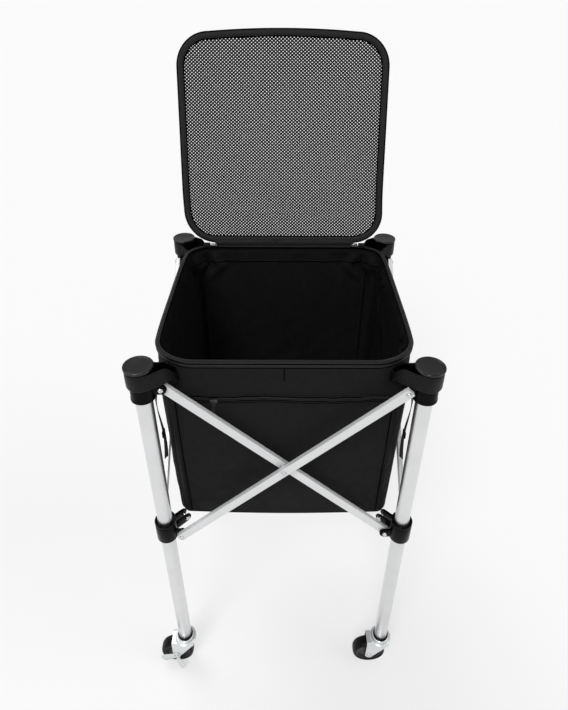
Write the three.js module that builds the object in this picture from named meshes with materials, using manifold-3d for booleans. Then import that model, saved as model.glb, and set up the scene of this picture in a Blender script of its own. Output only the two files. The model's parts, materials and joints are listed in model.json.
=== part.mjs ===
// Folding tennis ball hopper: four aluminium legs on swivel casters, joined on each side by a pair of
// crossed bars, with an open-topped fabric bag hung between them and a mesh lid hinged on its rear rim.
// Millimetres, +Z up. The floor is z = 0, the middle of the four legs is x = y = 0, the front is -Y.
import * as THREE from 'three';
import { mergeVertices } from 'three/addons/utils/BufferGeometryUtils.js';
import Module from 'manifold-3d';

const wasm = await Module();
wasm.setup();

// Whole cart
const legSpacing = 450;
const capTopHeight = 893;

// Gaps and cutters
const fit = 0.3;
const slideFit = 0.5;
const overrun = 5;

// Leg tube and its top cap
const tubeDiameter = 28;
const tubeWall = 1.5;
const capDiameter = 48;
const capThickness = 4;
const capCrown = 1.5;
const capSpigotLength = 14;

// Top bracket, fixed on the tube
const bracketDiameter = 40;
const bracketDrop = 66;
const bracketChamfer = 1.5;

// Slider collar, which runs on the tube
const collarDiameter = 40;
const collarAbovePivot = 34;
const collarBelowPivot = 13;
const collarMouthDepth = 5;
const collarMouthWiden = 2.5;

// Lugs that carry the crossed bars, and their bolts
const pivotReach = 30.5;
const upperPivotDrop = 46;
const lowerPivotDrop = 409;
const lugThickness = 5;
const lugRadius = 9.5;
const lugOffset = 4;
const lugBossRadius = 8;
const lugBossHeight = 0.8;
const boltRadius = 3;
const boltHeadRadius = 4.5;
const boltHeadHeight = 2.5;
const nutRadius = 5;
const nutHeight = 3.2;

// Diagonal clevis on each collar, pointing at the middle of the cart
const clevisReach = 42.5;
const clevisRadius = 9;
const clevisPlate = 3.2;
const clevisGap = 12;
const clevisRise = 5;
const clevisPlateTopRise = 12;

// Crossed bars: rectangular tube
const barHeight = 16;
const barThickness = 9;
const barWall = 1.3;
const barEnd = 6.5;
const barCorner = 3;
const barGap = 0.5;
const rivetHeadRadius = 5;
const rivetHeadHeight = 2;
const rivetSpacerRadius = 7;

// Casters, from the wheel up
const wheelDiameter = 75;
const wheelWidth = 25;
const wheelShoulder = 4;
const wheelShoulderShare = 0.25;
const wheelRimDepth = 9;
const wheelRecess = 5;
const hubRadius = 11;
const hubWidth = 28;
const axleRadius = 4;
const axleHeadRadius = 6.5;
const axleHeadHeight = 2.5;
const casterTrail = 23;
const forkInnerWidth = 30;
const forkPlate = 2;
const forkWheelRoom = 9;
const forkCrownThickness = 2.5;
const forkCrownFront = 19;
const forkCrownBack = 31;
const forkAxleLobe = 9;
const forkLobeEndAngle = THREE.MathUtils.degToRad(333);
const racewayRadius = 24;
const racewayNeckRadius = 17;
const racewayHeight = 12;
const racewayShares = [0.17, 0.5, 0.67, 0.75];
const stemRadius = 5;
const stemHeadRadius = 8;
const stemHeadHeight = 2.5;
const socketFlangeRadius = 15.5;
const socketFlangeThickness = 3.9;
const socketPlugLength = 25;
const brakePlate = 2;
const brakeRingRadius = 9;
const brakeLeafReach = 25;
const brakeLeafDrop = 8;
const brakeLeafRadius = 12;
const brakeTabLength = 27;
const brakeTabWidth = 13;
const brakeTabRise = 12;
const brakeTabTilt = THREE.MathUtils.degToRad(-30);
const brakeTabLean = THREE.MathUtils.degToRad(-45);

// Bag
const bagRimDrop = 10;
const bagDepth = 378;
const bagRimBand = 22;
const bagRimHalf = 205;
const bagRimThickness = 5;
const bagWallTopHalf = 204;
const bagWallBottomHalf = 199;
const bagWallThickness = 3;
const bagCornerTopRadius = 60;
const bagCornerWallRadius = 22;
const bagCornerBottomRadius = 18;
const bagCornerTurnTopDrop = 57;
const bagCornerTurnBottomDrop = 83;
const bagFloorThickness = 6;
const bagFloorPad = 1;
const pocketTopDrop = 85;
const pocketBottomRise = 18;
const pocketHalfWidth = 178;
const pocketThickness = 2.5;

// Corner loops, sewn to the bag and wrapped round the legs under the caps
const loopThickness = 2.5;
const loopStartAngle = THREE.MathUtils.degToRad(-135);
const loopLeaveAngle = THREE.MathUtils.degToRad(-70);
const loopBow = 48;
const loopSeamFlat = 1.5;
const loopTopDrop = 6;
const loopBottomDrop = 38;
const loopWaistDrop = 35.5;
const loopSeamTopDrop = 34;
const loopSeamBottomDrop = 54;

// Mesh lid, standing open on the rear rim and leaning back
const lidWidth = 426;
const lidHeight = 418;
const lidCorner = 62;
const lidTopBow = 6;
const lidBorder = 13;
const lidThickness = 8;
const lidMeshThickness = 2;
const lidHingeY = 203;
const lidHingeRise = 1.5;
const lidLean = THREE.MathUtils.degToRad(15);
const lidLowerEdgeRise = 14;
const hingeStripHalfWidth = 146;
const hingeStripThickness = 2;

// Zip sliders
const sliderLength = 14;
const sliderWidth = 9;
const sliderHeight = 4;
const sliderBridge = 3;
const pullerLength = 34;
const pullerWidth = 6;
const pullerThickness = 1.2;
const pocketSliderX = -117;
const lidSliderX = 154;
const lidSliderY = 197;
const lidSliderHeight = 6;

// Facets
const roundSides = 16;
const wheelSides = 20;
const smallSides = 8;
const cornerSteps = 5;
const lugSteps = 4;
const endSteps = 2;
const loopWrapSteps = 4;
const loopBowSteps = 5;

// Worked out from the sizes above
const half = legSpacing / 2;
const tubeRadius = tubeDiameter / 2;
const tubeBore = tubeRadius - tubeWall;
const crownBottom = wheelDiameter + forkWheelRoom;
const forkTopHeight = crownBottom + forkCrownThickness;
const casterHeight = forkTopHeight + racewayHeight + socketFlangeThickness + 2 * fit;
const span = legSpacing - 2 * pivotReach;
const rise = lowerPivotDrop - upperPivotDrop;
const barLength = Math.hypot(span, rise);
const barAngle = Math.atan2(rise, span);
const upperPivotHeight = capTopHeight - upperPivotDrop;
const lowerPivotHeight = capTopHeight - lowerPivotDrop;
const outerBarY = -lugOffset - lugThickness / 2 - barGap - barThickness / 2;
const innerBarY = -lugOffset + lugThickness / 2 + barGap + barThickness / 2;
const rimTopHeight = capTopHeight - bagRimDrop;
const bagBottomHeight = rimTopHeight - bagDepth;
const lidHingeHeight = rimTopHeight + lidHingeRise;
const lidBottomHeight = rimTopHeight + lidLowerEdgeRise;

// Colours and finishes
const finish = {
  aluminium: { color: 0xd9dadb, roughness: 0.35, metalness: 0.9 },
  blackNylon: { color: 0x1f2022, roughness: 0.4, metalness: 0 },
  steel: { color: 0xc4c7c8, roughness: 0.3, metalness: 1 },
  zinc: { color: 0xb9bfc2, roughness: 0.4, metalness: 0.9 },
  rubber: { color: 0x2a2a2c, roughness: 0.6, metalness: 0 },
  fabric: { color: 0x2e2f31, roughness: 0.85, metalness: 0 },
  netting: { color: 0x3a3b3d, roughness: 0.9, metalness: 0 },
};

const corners = [
  { name: 'front_left', x: -1, y: -1 },
  { name: 'front_right', x: 1, y: -1 },
  { name: 'rear_left', x: -1, y: 1 },
  { name: 'rear_right', x: 1, y: 1 },
];

// Each side seen from outside: its turn about Z from the front side
const sides = [
  { name: 'front', turn: 0 },
  { name: 'right', turn: Math.PI / 2 },
  { name: 'rear', turn: Math.PI, flipped: true },
  { name: 'left', turn: -Math.PI / 2, flipped: true },
];

// At each corner, whether the bar on the front or rear lug, and on the side lug, lies inside the lug.
// Bars that start at the top of their side's first leg lie inside, the ones that cross them outside.
const barIsInside = {
  front_left: { top: { along: true, across: true }, bottom: { along: false, across: false } },
  front_right: { top: { along: false, across: true }, bottom: { along: true, across: false } },
  rear_left: { top: { along: true, across: false }, bottom: { along: false, across: true } },
  rear_right: { top: { along: false, across: false }, bottom: { along: true, across: true } },
};

const part = new THREE.Group();

function add(name, geometry, look, parent = part) {
  const mesh = new THREE.Mesh(geometry, new THREE.MeshStandardMaterial(look));
  mesh.name = name;
  parent.add(mesh);
  return mesh;
}

function solid(geometry) {
  const bare = geometry.clone();
  bare.deleteAttribute('normal');
  bare.deleteAttribute('uv');
  const welded = mergeVertices(bare);
  return new wasm.Manifold(new wasm.Mesh({
    numProp: 3,
    vertProperties: new Float32Array(welded.attributes.position.array),
    triVerts: new Uint32Array(welded.index.array),
  }));
}

function geometryOf(manifold) {
  const mesh = manifold.getMesh();
  const geometry = new THREE.BufferGeometry();
  geometry.setAttribute('position', new THREE.BufferAttribute(new Float32Array(mesh.vertProperties), mesh.numProp));
  geometry.setIndex(new THREE.BufferAttribute(new Uint32Array(mesh.triVerts), 1));
  geometry.computeVertexNormals();
  return geometry;
}

function join(...geometries) {
  return geometryOf(geometries.map(solid).reduce((whole, piece) => whole.add(piece)));
}

function cut(body, ...tools) {
  return geometryOf(tools.map(solid).reduce((whole, tool) => whole.subtract(tool), solid(body)));
}

// Applies a matrix that mirrors, and turns the faces back out
function reflected(geometry, matrix) {
  const copy = (geometry.index ? geometry.toNonIndexed() : geometry.clone()).applyMatrix4(matrix);
  const position = copy.attributes.position;
  const kept = new THREE.Vector3();
  const moved = new THREE.Vector3();
  for (let i = 0; i < position.count; i += 3) {
    kept.fromBufferAttribute(position, i + 1);
    moved.fromBufferAttribute(position, i + 2);
    position.setXYZ(i + 1, moved.x, moved.y, moved.z);
    position.setXYZ(i + 2, kept.x, kept.y, kept.z);
  }
  return copy;
}

// A corner piece is made with the inside of the cart towards +X and +Y, then mirrored to its corner
function toCorner(geometry, corner) {
  const matrix = new THREE.Matrix4().makeScale(-corner.x, -corner.y, 1);
  return matrix.determinant() < 0 ? reflected(geometry, matrix) : geometry.clone().applyMatrix4(matrix);
}

function swapXY(geometry) {
  return reflected(geometry, new THREE.Matrix4().set(0, 1, 0, 0, 1, 0, 0, 0, 0, 0, 1, 0, 0, 0, 0, 1));
}

// A turned piece about +Z, from [radius, z] points that run round the section
function turned(points, sides = roundSides) {
  const profile = points.map(([radius, z]) => new THREE.Vector2(radius, z));
  return new THREE.LatheGeometry(profile, sides).rotateX(Math.PI / 2);
}

function ring(inner, outer, bottom, top, sides = roundSides) {
  return turned([[inner, bottom], [outer, bottom], [outer, top], [inner, top], [inner, bottom]], sides);
}

function rod(radius, bottom, top, sides = roundSides) {
  return turned([[0, bottom], [radius, bottom], [radius, top], [0, top]], sides);
}

// A plate whose outline is drawn in X and Z, from one Y to another
function plateXZ(shape, fromY, toY, curveSegments = cornerSteps) {
  const plate = new THREE.ExtrudeGeometry(shape, { depth: toY - fromY, bevelEnabled: false, curveSegments });
  return plate.rotateX(Math.PI / 2).translate(0, toY, 0);
}

// A pin along Y from stacked [radius, fromY, toY] lengths
function pinY(lengths, sides = smallSides) {
  const points = [[0, lengths[0][1]]];
  for (const [radius, from, to] of lengths) {
    points.push([radius, from], [radius, to]);
  }
  points.push([0, lengths[lengths.length - 1][2]]);
  return turned(points, sides).rotateX(-Math.PI / 2);
}

// A closed solid through flat outlines with the same number of points, from the lowest to the highest
function loft(outlines) {
  const count = outlines[0].length;
  const positions = outlines.flat().flat();
  const indices = [];
  for (let level = 0; level < outlines.length - 1; level += 1) {
    for (let i = 0; i < count; i += 1) {
      const next = (i + 1) % count;
      const a = level * count + i;
      const b = level * count + next;
      indices.push(a, b, b + count, a, b + count, a + count);
    }
  }
  const flat = (outline) => outline.map(([x, y]) => new THREE.Vector2(x, y));
  const last = (outlines.length - 1) * count;
  for (const [a, b, c] of THREE.ShapeUtils.triangulateShape(flat(outlines[0]), [])) {
    indices.push(c, b, a);
  }
  for (const [a, b, c] of THREE.ShapeUtils.triangulateShape(flat(outlines[outlines.length - 1]), [])) {
    indices.push(last + a, last + b, last + c);
  }
  const geometry = new THREE.BufferGeometry();
  geometry.setAttribute('position', new THREE.Float32BufferAttribute(positions, 3));
  geometry.setIndex(indices);
  return geometry;
}

// Legs, caps and the fixed top brackets

function legTube() {
  return ring(tubeBore, tubeRadius, casterHeight, capTopHeight - capThickness - fit);
}

function topCap() {
  const spigot = tubeBore - fit;
  const disc = capDiameter / 2;
  return turned([
    [0, -capThickness - capSpigotLength],
    [spigot, -capThickness - capSpigotLength],
    [spigot, -capThickness],
    [disc - capCrown, -capThickness],
    [disc, -capThickness + capCrown],
    [disc, -capCrown],
    [disc - capCrown, 0],
    [0, 0],
  ]);
}

// A lug along +X at the given height, with the bolt that holds its bar. Inside is towards +Y.
function lug(height, inside) {
  const outline = new THREE.Shape();
  outline.moveTo(0, height - lugRadius);
  outline.lineTo(pivotReach, height - lugRadius);
  outline.absarc(pivotReach, height, lugRadius, -Math.PI / 2, Math.PI / 2, false);
  outline.lineTo(0, height + lugRadius);
  const outerFace = -lugOffset - lugThickness / 2;
  const innerFace = -lugOffset + lugThickness / 2;
  const plate = plateXZ(outline, outerFace, innerFace, lugSteps);
  const reach = barGap + barThickness + fit;
  const stack = inside
    ? [
      [boltHeadRadius, outerFace - lugBossHeight - boltHeadHeight, outerFace - lugBossHeight],
      [lugBossRadius, outerFace - lugBossHeight, outerFace],
      [boltRadius, outerFace, innerFace + reach],
      [nutRadius, innerFace + reach, innerFace + reach + nutHeight],
    ]
    : [
      [boltHeadRadius, outerFace - reach - boltHeadHeight, outerFace - reach],
      [boltRadius, outerFace - reach, innerFace],
      [lugBossRadius, innerFace, innerFace + lugBossHeight],
      [nutRadius, innerFace + lugBossHeight, innerFace + lugBossHeight + nutHeight],
    ];
  return join(plate, pinY(stack, smallSides).translate(pivotReach, 0, height));
}

function lugPair(height, which) {
  return [lug(height, which.along), swapXY(lug(height, which.across))];
}

function topBracket(corner) {
  const radius = bracketDiameter / 2;
  const top = -capThickness - fit;
  const body = turned([
    [0, -bracketDrop],
    [radius - bracketChamfer, -bracketDrop],
    [radius, -bracketDrop + bracketChamfer],
    [radius, top],
    [0, top],
  ]);
  const moulding = join(body, ...lugPair(-upperPivotDrop, barIsInside[corner.name].top));
  return toCorner(cut(moulding, rod(tubeRadius + fit, -bracketDrop - overrun, overrun)), corner);
}

function clevis() {
  const outline = new THREE.Shape();
  outline.moveTo(0, clevisRise - clevisRadius);
  outline.lineTo(clevisReach, clevisRise - clevisRadius);
  outline.absarc(clevisReach, clevisRise, clevisRadius, -Math.PI / 2, Math.PI / 2, false);
  outline.lineTo(0, clevisRise + clevisPlateTopRise);
  const inner = clevisGap / 2;
  const outer = inner + clevisPlate;
  const pin = pinY([
    [boltHeadRadius, -outer - boltHeadHeight, -outer],
    [boltRadius, -outer, outer],
    [boltHeadRadius, outer, outer + boltHeadHeight],
  ]).translate(clevisReach, 0, clevisRise);
  const plates = [plateXZ(outline, -outer, -inner, lugSteps), plateXZ(outline, inner, outer, lugSteps)];
  return join(...plates, pin).rotateZ(Math.PI / 4);
}

function sliderCollar(corner) {
  const radius = collarDiameter / 2;
  const bore = tubeRadius + slideFit;
  const body = turned([
    [0, -collarBelowPivot],
    [radius - bracketChamfer, -collarBelowPivot],
    [radius, -collarBelowPivot + bracketChamfer],
    [radius, collarAbovePivot],
    [0, collarAbovePivot],
  ]);
  const mouth = rod(bore + collarMouthWiden, collarAbovePivot - collarMouthDepth, collarAbovePivot + overrun);
  const moulding = join(body, ...lugPair(0, barIsInside[corner.name].bottom), clevis());
  const bored = cut(moulding, rod(bore, -collarBelowPivot - overrun, collarAbovePivot + overrun), mouth);
  return toCorner(bored, corner);
}

// Crossed bars

function bar() {
  const length = barLength + 2 * barEnd;
  const outline = new THREE.Shape();
  const right = length / 2;
  const top = barHeight / 2;
  outline.moveTo(-right + barCorner, -top);
  outline.lineTo(right - barCorner, -top);
  outline.absarc(right - barCorner, -top + barCorner, barCorner, -Math.PI / 2, 0, false);
  outline.absarc(right - barCorner, top - barCorner, barCorner, 0, Math.PI / 2, false);
  outline.absarc(-right + barCorner, top - barCorner, barCorner, Math.PI / 2, Math.PI, false);
  outline.absarc(-right + barCorner, -top + barCorner, barCorner, Math.PI, Math.PI * 1.5, false);
  const side = barThickness / 2;
  const body = plateXZ(outline, -side, side, endSteps);
  const hollow = new THREE.BoxGeometry(length + overrun, barThickness - 2 * barWall, barHeight - 2 * barWall);
  const hole = pinY([[boltRadius + fit, -side - overrun, side + overrun]]);
  const holes = [-barLength / 2, 0, barLength / 2].map((x) => hole.clone().translate(x, 0, 0));
  return cut(body, hollow, ...holes);
}

function crossRivet() {
  const outerFace = outerBarY - barThickness / 2 - fit;
  const innerFace = innerBarY + barThickness / 2 + fit;
  const spacerFrom = outerBarY + barThickness / 2 + fit;
  const spacerTo = innerBarY - barThickness / 2 - fit;
  return pinY([
    [rivetHeadRadius, outerFace - rivetHeadHeight, outerFace],
    [boltRadius, outerFace, spacerFrom],
    [rivetSpacerRadius, spacerFrom, spacerTo],
    [boltRadius, spacerTo, innerFace],
    [rivetHeadRadius, innerFace, innerFace + rivetHeadHeight],
  ]);
}

// Casters, made about their swivel axis with the wheel trailing towards -X. The rear ones are turned about.

function casterSocket() {
  const plug = tubeBore - fit;
  const flangeBottom = forkTopHeight + racewayHeight + fit;
  return turned([
    [0, crownBottom - fit - stemHeadHeight],
    [stemHeadRadius, crownBottom - fit - stemHeadHeight],
    [stemHeadRadius, crownBottom - fit],
    [stemRadius, crownBottom - fit],
    [stemRadius, flangeBottom],
    [socketFlangeRadius, flangeBottom],
    [socketFlangeRadius, casterHeight - fit],
    [plug, casterHeight - fit],
    [plug, casterHeight + socketPlugLength],
    [0, casterHeight + socketPlugLength],
  ]);
}

function casterFork(braked) {
  const inner = forkInnerWidth / 2;
  const outer = inner + forkPlate;
  const axleHeight = wheelDiameter / 2;
  const [ringFoot, ringTop, cupTop, neckFoot] = racewayShares.map((share) => forkTopHeight + share * racewayHeight);
  const cheek = new THREE.Shape();
  cheek.moveTo(-forkCrownBack, forkTopHeight);
  cheek.lineTo(-casterTrail - forkAxleLobe, axleHeight);
  cheek.absarc(-casterTrail, axleHeight, forkAxleLobe, Math.PI, forkLobeEndAngle, false);
  cheek.lineTo(forkCrownFront, crownBottom - forkCrownThickness);
  cheek.lineTo(forkCrownFront, forkTopHeight);
  const crown = new THREE.Shape();
  crown.moveTo(-forkCrownBack, crownBottom);
  crown.lineTo(forkCrownFront, crownBottom);
  crown.lineTo(forkCrownFront, forkTopHeight);
  crown.lineTo(-forkCrownBack, forkTopHeight);
  const raceway = turned([
    [0, crownBottom],
    [racewayRadius - forkPlate, crownBottom],
    [racewayRadius - forkPlate, forkTopHeight],
    [racewayRadius, ringFoot],
    [racewayRadius, ringTop],
    [racewayRadius - forkPlate, cupTop],
    [racewayNeckRadius, neckFoot],
    [racewayNeckRadius, forkTopHeight + racewayHeight],
    [0, forkTopHeight + racewayHeight],
  ]);
  const brakeRoom = braked ? brakePlate + 2 * fit : 0;
  const axle = pinY([
    [axleHeadRadius, -outer - brakeRoom - axleHeadHeight, -outer - brakeRoom],
    [axleRadius, -outer - brakeRoom, outer],
    [axleHeadRadius, outer, outer + axleHeadHeight],
  ]).translate(-casterTrail, 0, axleHeight);
  const fork = join(
    plateXZ(cheek, -outer, -inner),
    plateXZ(cheek, inner, outer),
    plateXZ(crown, -outer, outer),
    raceway,
    axle,
  );
  return cut(fork, rod(stemRadius + fit, crownBottom - overrun, forkTopHeight + racewayHeight + overrun));
}

function casterWheel() {
  const rim = wheelDiameter / 2;
  const face = wheelWidth / 2;
  const hub = hubWidth / 2;
  const web = face - wheelRecess;
  const bore = axleRadius + fit;
  const halfSection = [
    [bore, hub],
    [hubRadius, hub],
    [hubRadius, web],
    [rim - wheelRimDepth, web],
    [rim - wheelRimDepth, face],
    [rim - wheelShoulder, face],
    [rim - wheelShoulder * wheelShoulderShare, face - wheelShoulder],
    [rim, 0],
  ];
  const lower = halfSection.slice(0, -1).map(([radius, y]) => [radius, -y]);
  const section = [...lower, ...halfSection.slice().reverse(), lower[0]];
  return turned(section, wheelSides).rotateX(-Math.PI / 2);
}

// A sheet lever on the outside of the fork, turning on the axle: a leaf over the tyre and a bent toe tab
function brakeLever() {
  const inner = -forkInnerWidth / 2 - forkPlate - fit;
  const outline = new THREE.Shape();
  outline.moveTo(0, brakeRingRadius);
  outline.lineTo(-brakeLeafReach, -brakeLeafDrop + brakeLeafRadius);
  outline.absarc(-brakeLeafReach, -brakeLeafDrop, brakeLeafRadius, Math.PI / 2, Math.PI * 1.5, false);
  outline.lineTo(0, -brakeLeafDrop - brakeLeafRadius);
  outline.lineTo(brakeRingRadius, -brakeLeafDrop);
  outline.absarc(0, 0, brakeRingRadius, 0, Math.PI / 2, false);
  const leaf = plateXZ(outline, inner - brakePlate, inner);
  const tab = new THREE.BoxGeometry(brakeTabWidth, brakePlate, brakeTabLength)
    .translate(0, 0, -brakeTabLength / 2)
    .rotateX(brakeTabTilt)
    .rotateY(brakeTabLean)
    .translate(0, inner - brakePlate / 2, -brakeTabRise);
  const eyeRadius = (axleRadius + fit) / Math.cos(Math.PI / smallSides);
  const eye = pinY([[eyeRadius, inner - brakePlate - overrun, inner + overrun]]);
  return cut(join(leaf, tab), eye);
}

function addCaster(corner) {
  const place = new THREE.Group();
  place.position.set(corner.x * half, corner.y * half, 0);
  place.rotation.z = corner.y > 0 ? Math.PI : 0;
  part.add(place);
  const braked = corner.x === corner.y;
  add(`caster_socket_${corner.name}`, casterSocket(), finish.blackNylon, place);
  add(`caster_fork_${corner.name}`, casterFork(braked), finish.zinc, place);
  const wheel = add(`caster_wheel_${corner.name}`, casterWheel(), finish.rubber, place);
  wheel.position.set(-casterTrail, 0, wheelDiameter / 2);
  if (braked) {
    const lever = add(`brake_lever_${corner.name}`, brakeLever(), finish.zinc, place);
    lever.position.copy(wheel.position);
  }
}

// Bag: four walls round an open top, a floor, a zipped pocket and the corner loops

function wallHalf(height) {
  const share = (height - bagBottomHeight) / (rimTopHeight - bagRimBand - bagBottomHeight);
  return bagWallBottomHalf + share * (bagWallTopHalf - bagWallBottomHalf);
}

// The corners are sewn nearly square below, and the loops pull them round near the rim
function cornerRadius(height) {
  const turnTop = capTopHeight - bagCornerTurnTopDrop;
  const turnBottom = capTopHeight - bagCornerTurnBottomDrop;
  if (height >= turnTop) {
    return bagCornerTopRadius;
  }
  if (height >= turnBottom) {
    return THREE.MathUtils.mapLinear(height, turnBottom, turnTop, bagCornerWallRadius, bagCornerTopRadius);
  }
  return THREE.MathUtils.mapLinear(height, bagBottomHeight, turnBottom, bagCornerBottomRadius, bagCornerWallRadius);
}

// Points along the front of the bag, from one side wall round both corners to the other
function frontPath(outerHalf, radius) {
  const points = [];
  const centre = outerHalf - radius;
  for (let i = 0; i <= cornerSteps; i += 1) {
    const angle = Math.PI + (Math.PI / 2) * (i / cornerSteps);
    points.push([-centre + radius * Math.cos(angle), -centre + radius * Math.sin(angle)]);
  }
  return [...points, ...points.map(([x, y]) => [-x, y]).reverse()];
}

function bagLevels() {
  const bandBottom = rimTopHeight - bagRimBand;
  const bandStep = fit;
  const turns = [capTopHeight - bagCornerTurnBottomDrop, capTopHeight - bagCornerTurnTopDrop];
  return [
    { z: bagBottomHeight, outer: wallHalf(bagBottomHeight), thick: bagWallThickness },
    ...turns.map((z) => ({ z, outer: wallHalf(z), thick: bagWallThickness })),
    { z: bandBottom - bandStep, outer: wallHalf(bandBottom), thick: bagWallThickness },
    { z: bandBottom, outer: bagRimHalf, thick: bagRimThickness },
    { z: rimTopHeight, outer: bagRimHalf, thick: bagRimThickness },
  ];
}

function bagEndWall() {
  return loft(bagLevels().map(({ z, outer, thick }) => {
    const radius = cornerRadius(z);
    const outside = frontPath(outer, radius);
    const inside = frontPath(outer - thick, radius - thick).reverse();
    return [...outside, ...inside].map(([x, y]) => [x, y, z]);
  }));
}

function bagSideWall() {
  return loft(bagLevels().map(({ z, outer, thick }) => {
    const end = outer - cornerRadius(z) - fit;
    const inside = outer - thick;
    return [[inside, -end, z], [outer, -end, z], [outer, end, z], [inside, end, z]];
  }));
}

// A slab under the walls, with a low pad that fits between them
function bagFloor() {
  const top = bagBottomHeight - fit;
  const inset = bagWallThickness + fit;
  const levels = [
    { z: top - bagFloorThickness, draw: 0 },
    { z: top, draw: 0 },
    { z: top, draw: inset },
    { z: top + bagFloorPad, draw: inset },
  ];
  return loft(levels.map(({ z, draw }) => {
    const front = frontPath(bagWallBottomHalf - draw, bagCornerBottomRadius - draw);
    return [...front, ...front.map(([x, y]) => [-x, -y])].map(([x, y]) => [x, y, z]);
  }));
}

function bagPocket() {
  const bottom = bagBottomHeight + pocketBottomRise;
  const top = capTopHeight - pocketTopDrop;
  return loft([bottom, top].map((z) => {
    const back = -wallHalf(z) - fit;
    const front = back - pocketThickness;
    const side = Math.min(pocketHalfWidth, wallHalf(z) - cornerRadius(z));
    return [[-side, front, z], [side, front, z], [side, back, z], [-side, back, z]];
  }));
}

// Half of a loop in plan: round the bracket, then out in a soft bow to a flat of the bag's corner, where
// its edge meets the wall face to face.
function loopHalf() {
  const seamHeight = capTopHeight - loopSeamTopDrop;
  const flatAngle = Math.PI / 2 / cornerSteps;
  const seamAngle = flatAngle * loopSeamFlat;
  const radius = cornerRadius(seamHeight);
  const bagCentre = half - (wallHalf(seamHeight) - radius);
  const seamReach = radius * Math.cos(flatAngle / 2) + fit;
  const seam = new THREE.Vector2(
    bagCentre - seamReach * Math.sin(seamAngle),
    bagCentre - seamReach * Math.cos(seamAngle),
  );
  const wrap = bracketDiameter / 2 + fit + loopThickness / 2;
  const stations = [];
  for (let i = 0; i <= loopWrapSteps; i += 1) {
    const angle = THREE.MathUtils.lerp(loopStartAngle, loopLeaveAngle, i / loopWrapSteps);
    stations.push({
      x: wrap * Math.cos(angle),
      y: wrap * Math.sin(angle),
      normal: angle,
      top: loopTopDrop,
      bottom: loopBottomDrop,
    });
  }
  const leave = new THREE.Vector2(Math.cos(loopLeaveAngle), Math.sin(loopLeaveAngle)).multiplyScalar(wrap);
  const pull = new THREE.Vector2(-Math.sin(loopLeaveAngle), Math.cos(loopLeaveAngle)).multiplyScalar(loopBow);
  const bow = new THREE.QuadraticBezierCurve(leave, leave.clone().add(pull), seam);
  for (let i = 1; i < loopBowSteps; i += 1) {
    const share = i / loopBowSteps;
    const place = bow.getPoint(share);
    stations.push({
      x: place.x,
      y: place.y,
      normal: bow.getTangent(share).angle() - Math.PI / 2,
      top: THREE.MathUtils.lerp(loopTopDrop, loopSeamTopDrop, Math.max(0, 2 * share - 1)),
      bottom: loopWaistDrop,
    });
  }
  stations.push({ x: seam.x, y: seam.y, normal: -seamAngle, top: loopSeamTopDrop, bottom: loopSeamBottomDrop });
  return stations;
}

function cornerLoop(corner) {
  const one = loopHalf();
  const other = one.slice(1).map(({ x, y, normal, top, bottom }) => (
    { x: y, y: x, normal: Math.PI / 2 - normal, top, bottom }
  ));
  const band = [...other.reverse(), ...one];
  const sections = band.map(({ x, y, normal, top, bottom }) => {
    const dx = (loopThickness / 2) * Math.cos(normal);
    const dy = (loopThickness / 2) * Math.sin(normal);
    return [[x - dx, y - dy, -bottom], [x + dx, y + dy, -bottom], [x + dx, y + dy, -top], [x - dx, y - dy, -top]];
  });
  const count = sections[0].length;
  const positions = sections.flat().flat();
  const indices = [0, 1, 2, 0, 2, 3];
  for (let level = 0; level < sections.length - 1; level += 1) {
    for (let i = 0; i < count; i += 1) {
      const a = level * count + i;
      const b = level * count + (i + 1) % count;
      indices.push(a, b + count, b, a, a + count, b + count);
    }
  }
  const last = (sections.length - 1) * count;
  indices.push(last, last + 2, last + 1, last, last + 3, last + 2);
  const geometry = new THREE.BufferGeometry();
  geometry.setAttribute('position', new THREE.Float32BufferAttribute(positions, 3));
  geometry.setIndex(indices);
  return toCorner(geometry, corner);
}

// Lid

function lidOutline(inset) {
  const right = lidWidth / 2 - inset;
  const bottom = lidBottomHeight + inset;
  const top = lidBottomHeight + lidHeight - lidTopBow - inset;
  const radius = lidCorner - inset;
  const outline = new THREE.Shape();
  outline.moveTo(-right + radius, bottom);
  outline.lineTo(right - radius, bottom);
  outline.absarc(right - radius, bottom + radius, radius, -Math.PI / 2, 0, false);
  outline.absarc(right - radius, top - radius, radius, 0, Math.PI / 2, false);
  outline.quadraticCurveTo(0, top + 2 * lidTopBow, -right + radius, top);
  outline.absarc(-right + radius, top - radius, radius, Math.PI / 2, Math.PI, false);
  outline.absarc(-right + radius, bottom + radius, radius, Math.PI, Math.PI * 1.5, false);
  return outline;
}

function lidFrame() {
  const outline = lidOutline(0);
  outline.holes.push(new THREE.Path(lidOutline(lidBorder).getPoints(cornerSteps)));
  return plateXZ(outline, lidHingeY, lidHingeY + lidThickness);
}

function lidMesh() {
  const middle = lidHingeY + lidThickness / 2;
  const outline = lidOutline(lidBorder + fit);
  return plateXZ(outline, middle - lidMeshThickness / 2, middle + lidMeshThickness / 2);
}

function hingeStrip() {
  const width = 2 * hingeStripHalfWidth;
  const height = lidBottomHeight - rimTopHeight - 3 * fit;
  const strip = new THREE.BoxGeometry(width, hingeStripThickness, height);
  return strip.translate(0, lidHingeY + hingeStripThickness / 2, rimTopHeight + 2 * fit + height / 2);
}

// The lid and its strip are drawn upright, then leant back about the hinge line
function addLid() {
  const lean = new THREE.Group();
  lean.position.set(0, lidHingeY, lidHingeHeight);
  lean.rotation.x = -lidLean;
  part.add(lean);
  const upright = new THREE.Group();
  upright.position.set(0, -lidHingeY, -lidHingeHeight);
  lean.add(upright);
  add('lid_frame', lidFrame(), finish.fabric, upright);
  add('lid_mesh', lidMesh(), finish.netting, upright);
  add('lid_hinge_strip', hingeStrip(), finish.fabric, upright);
}

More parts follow.
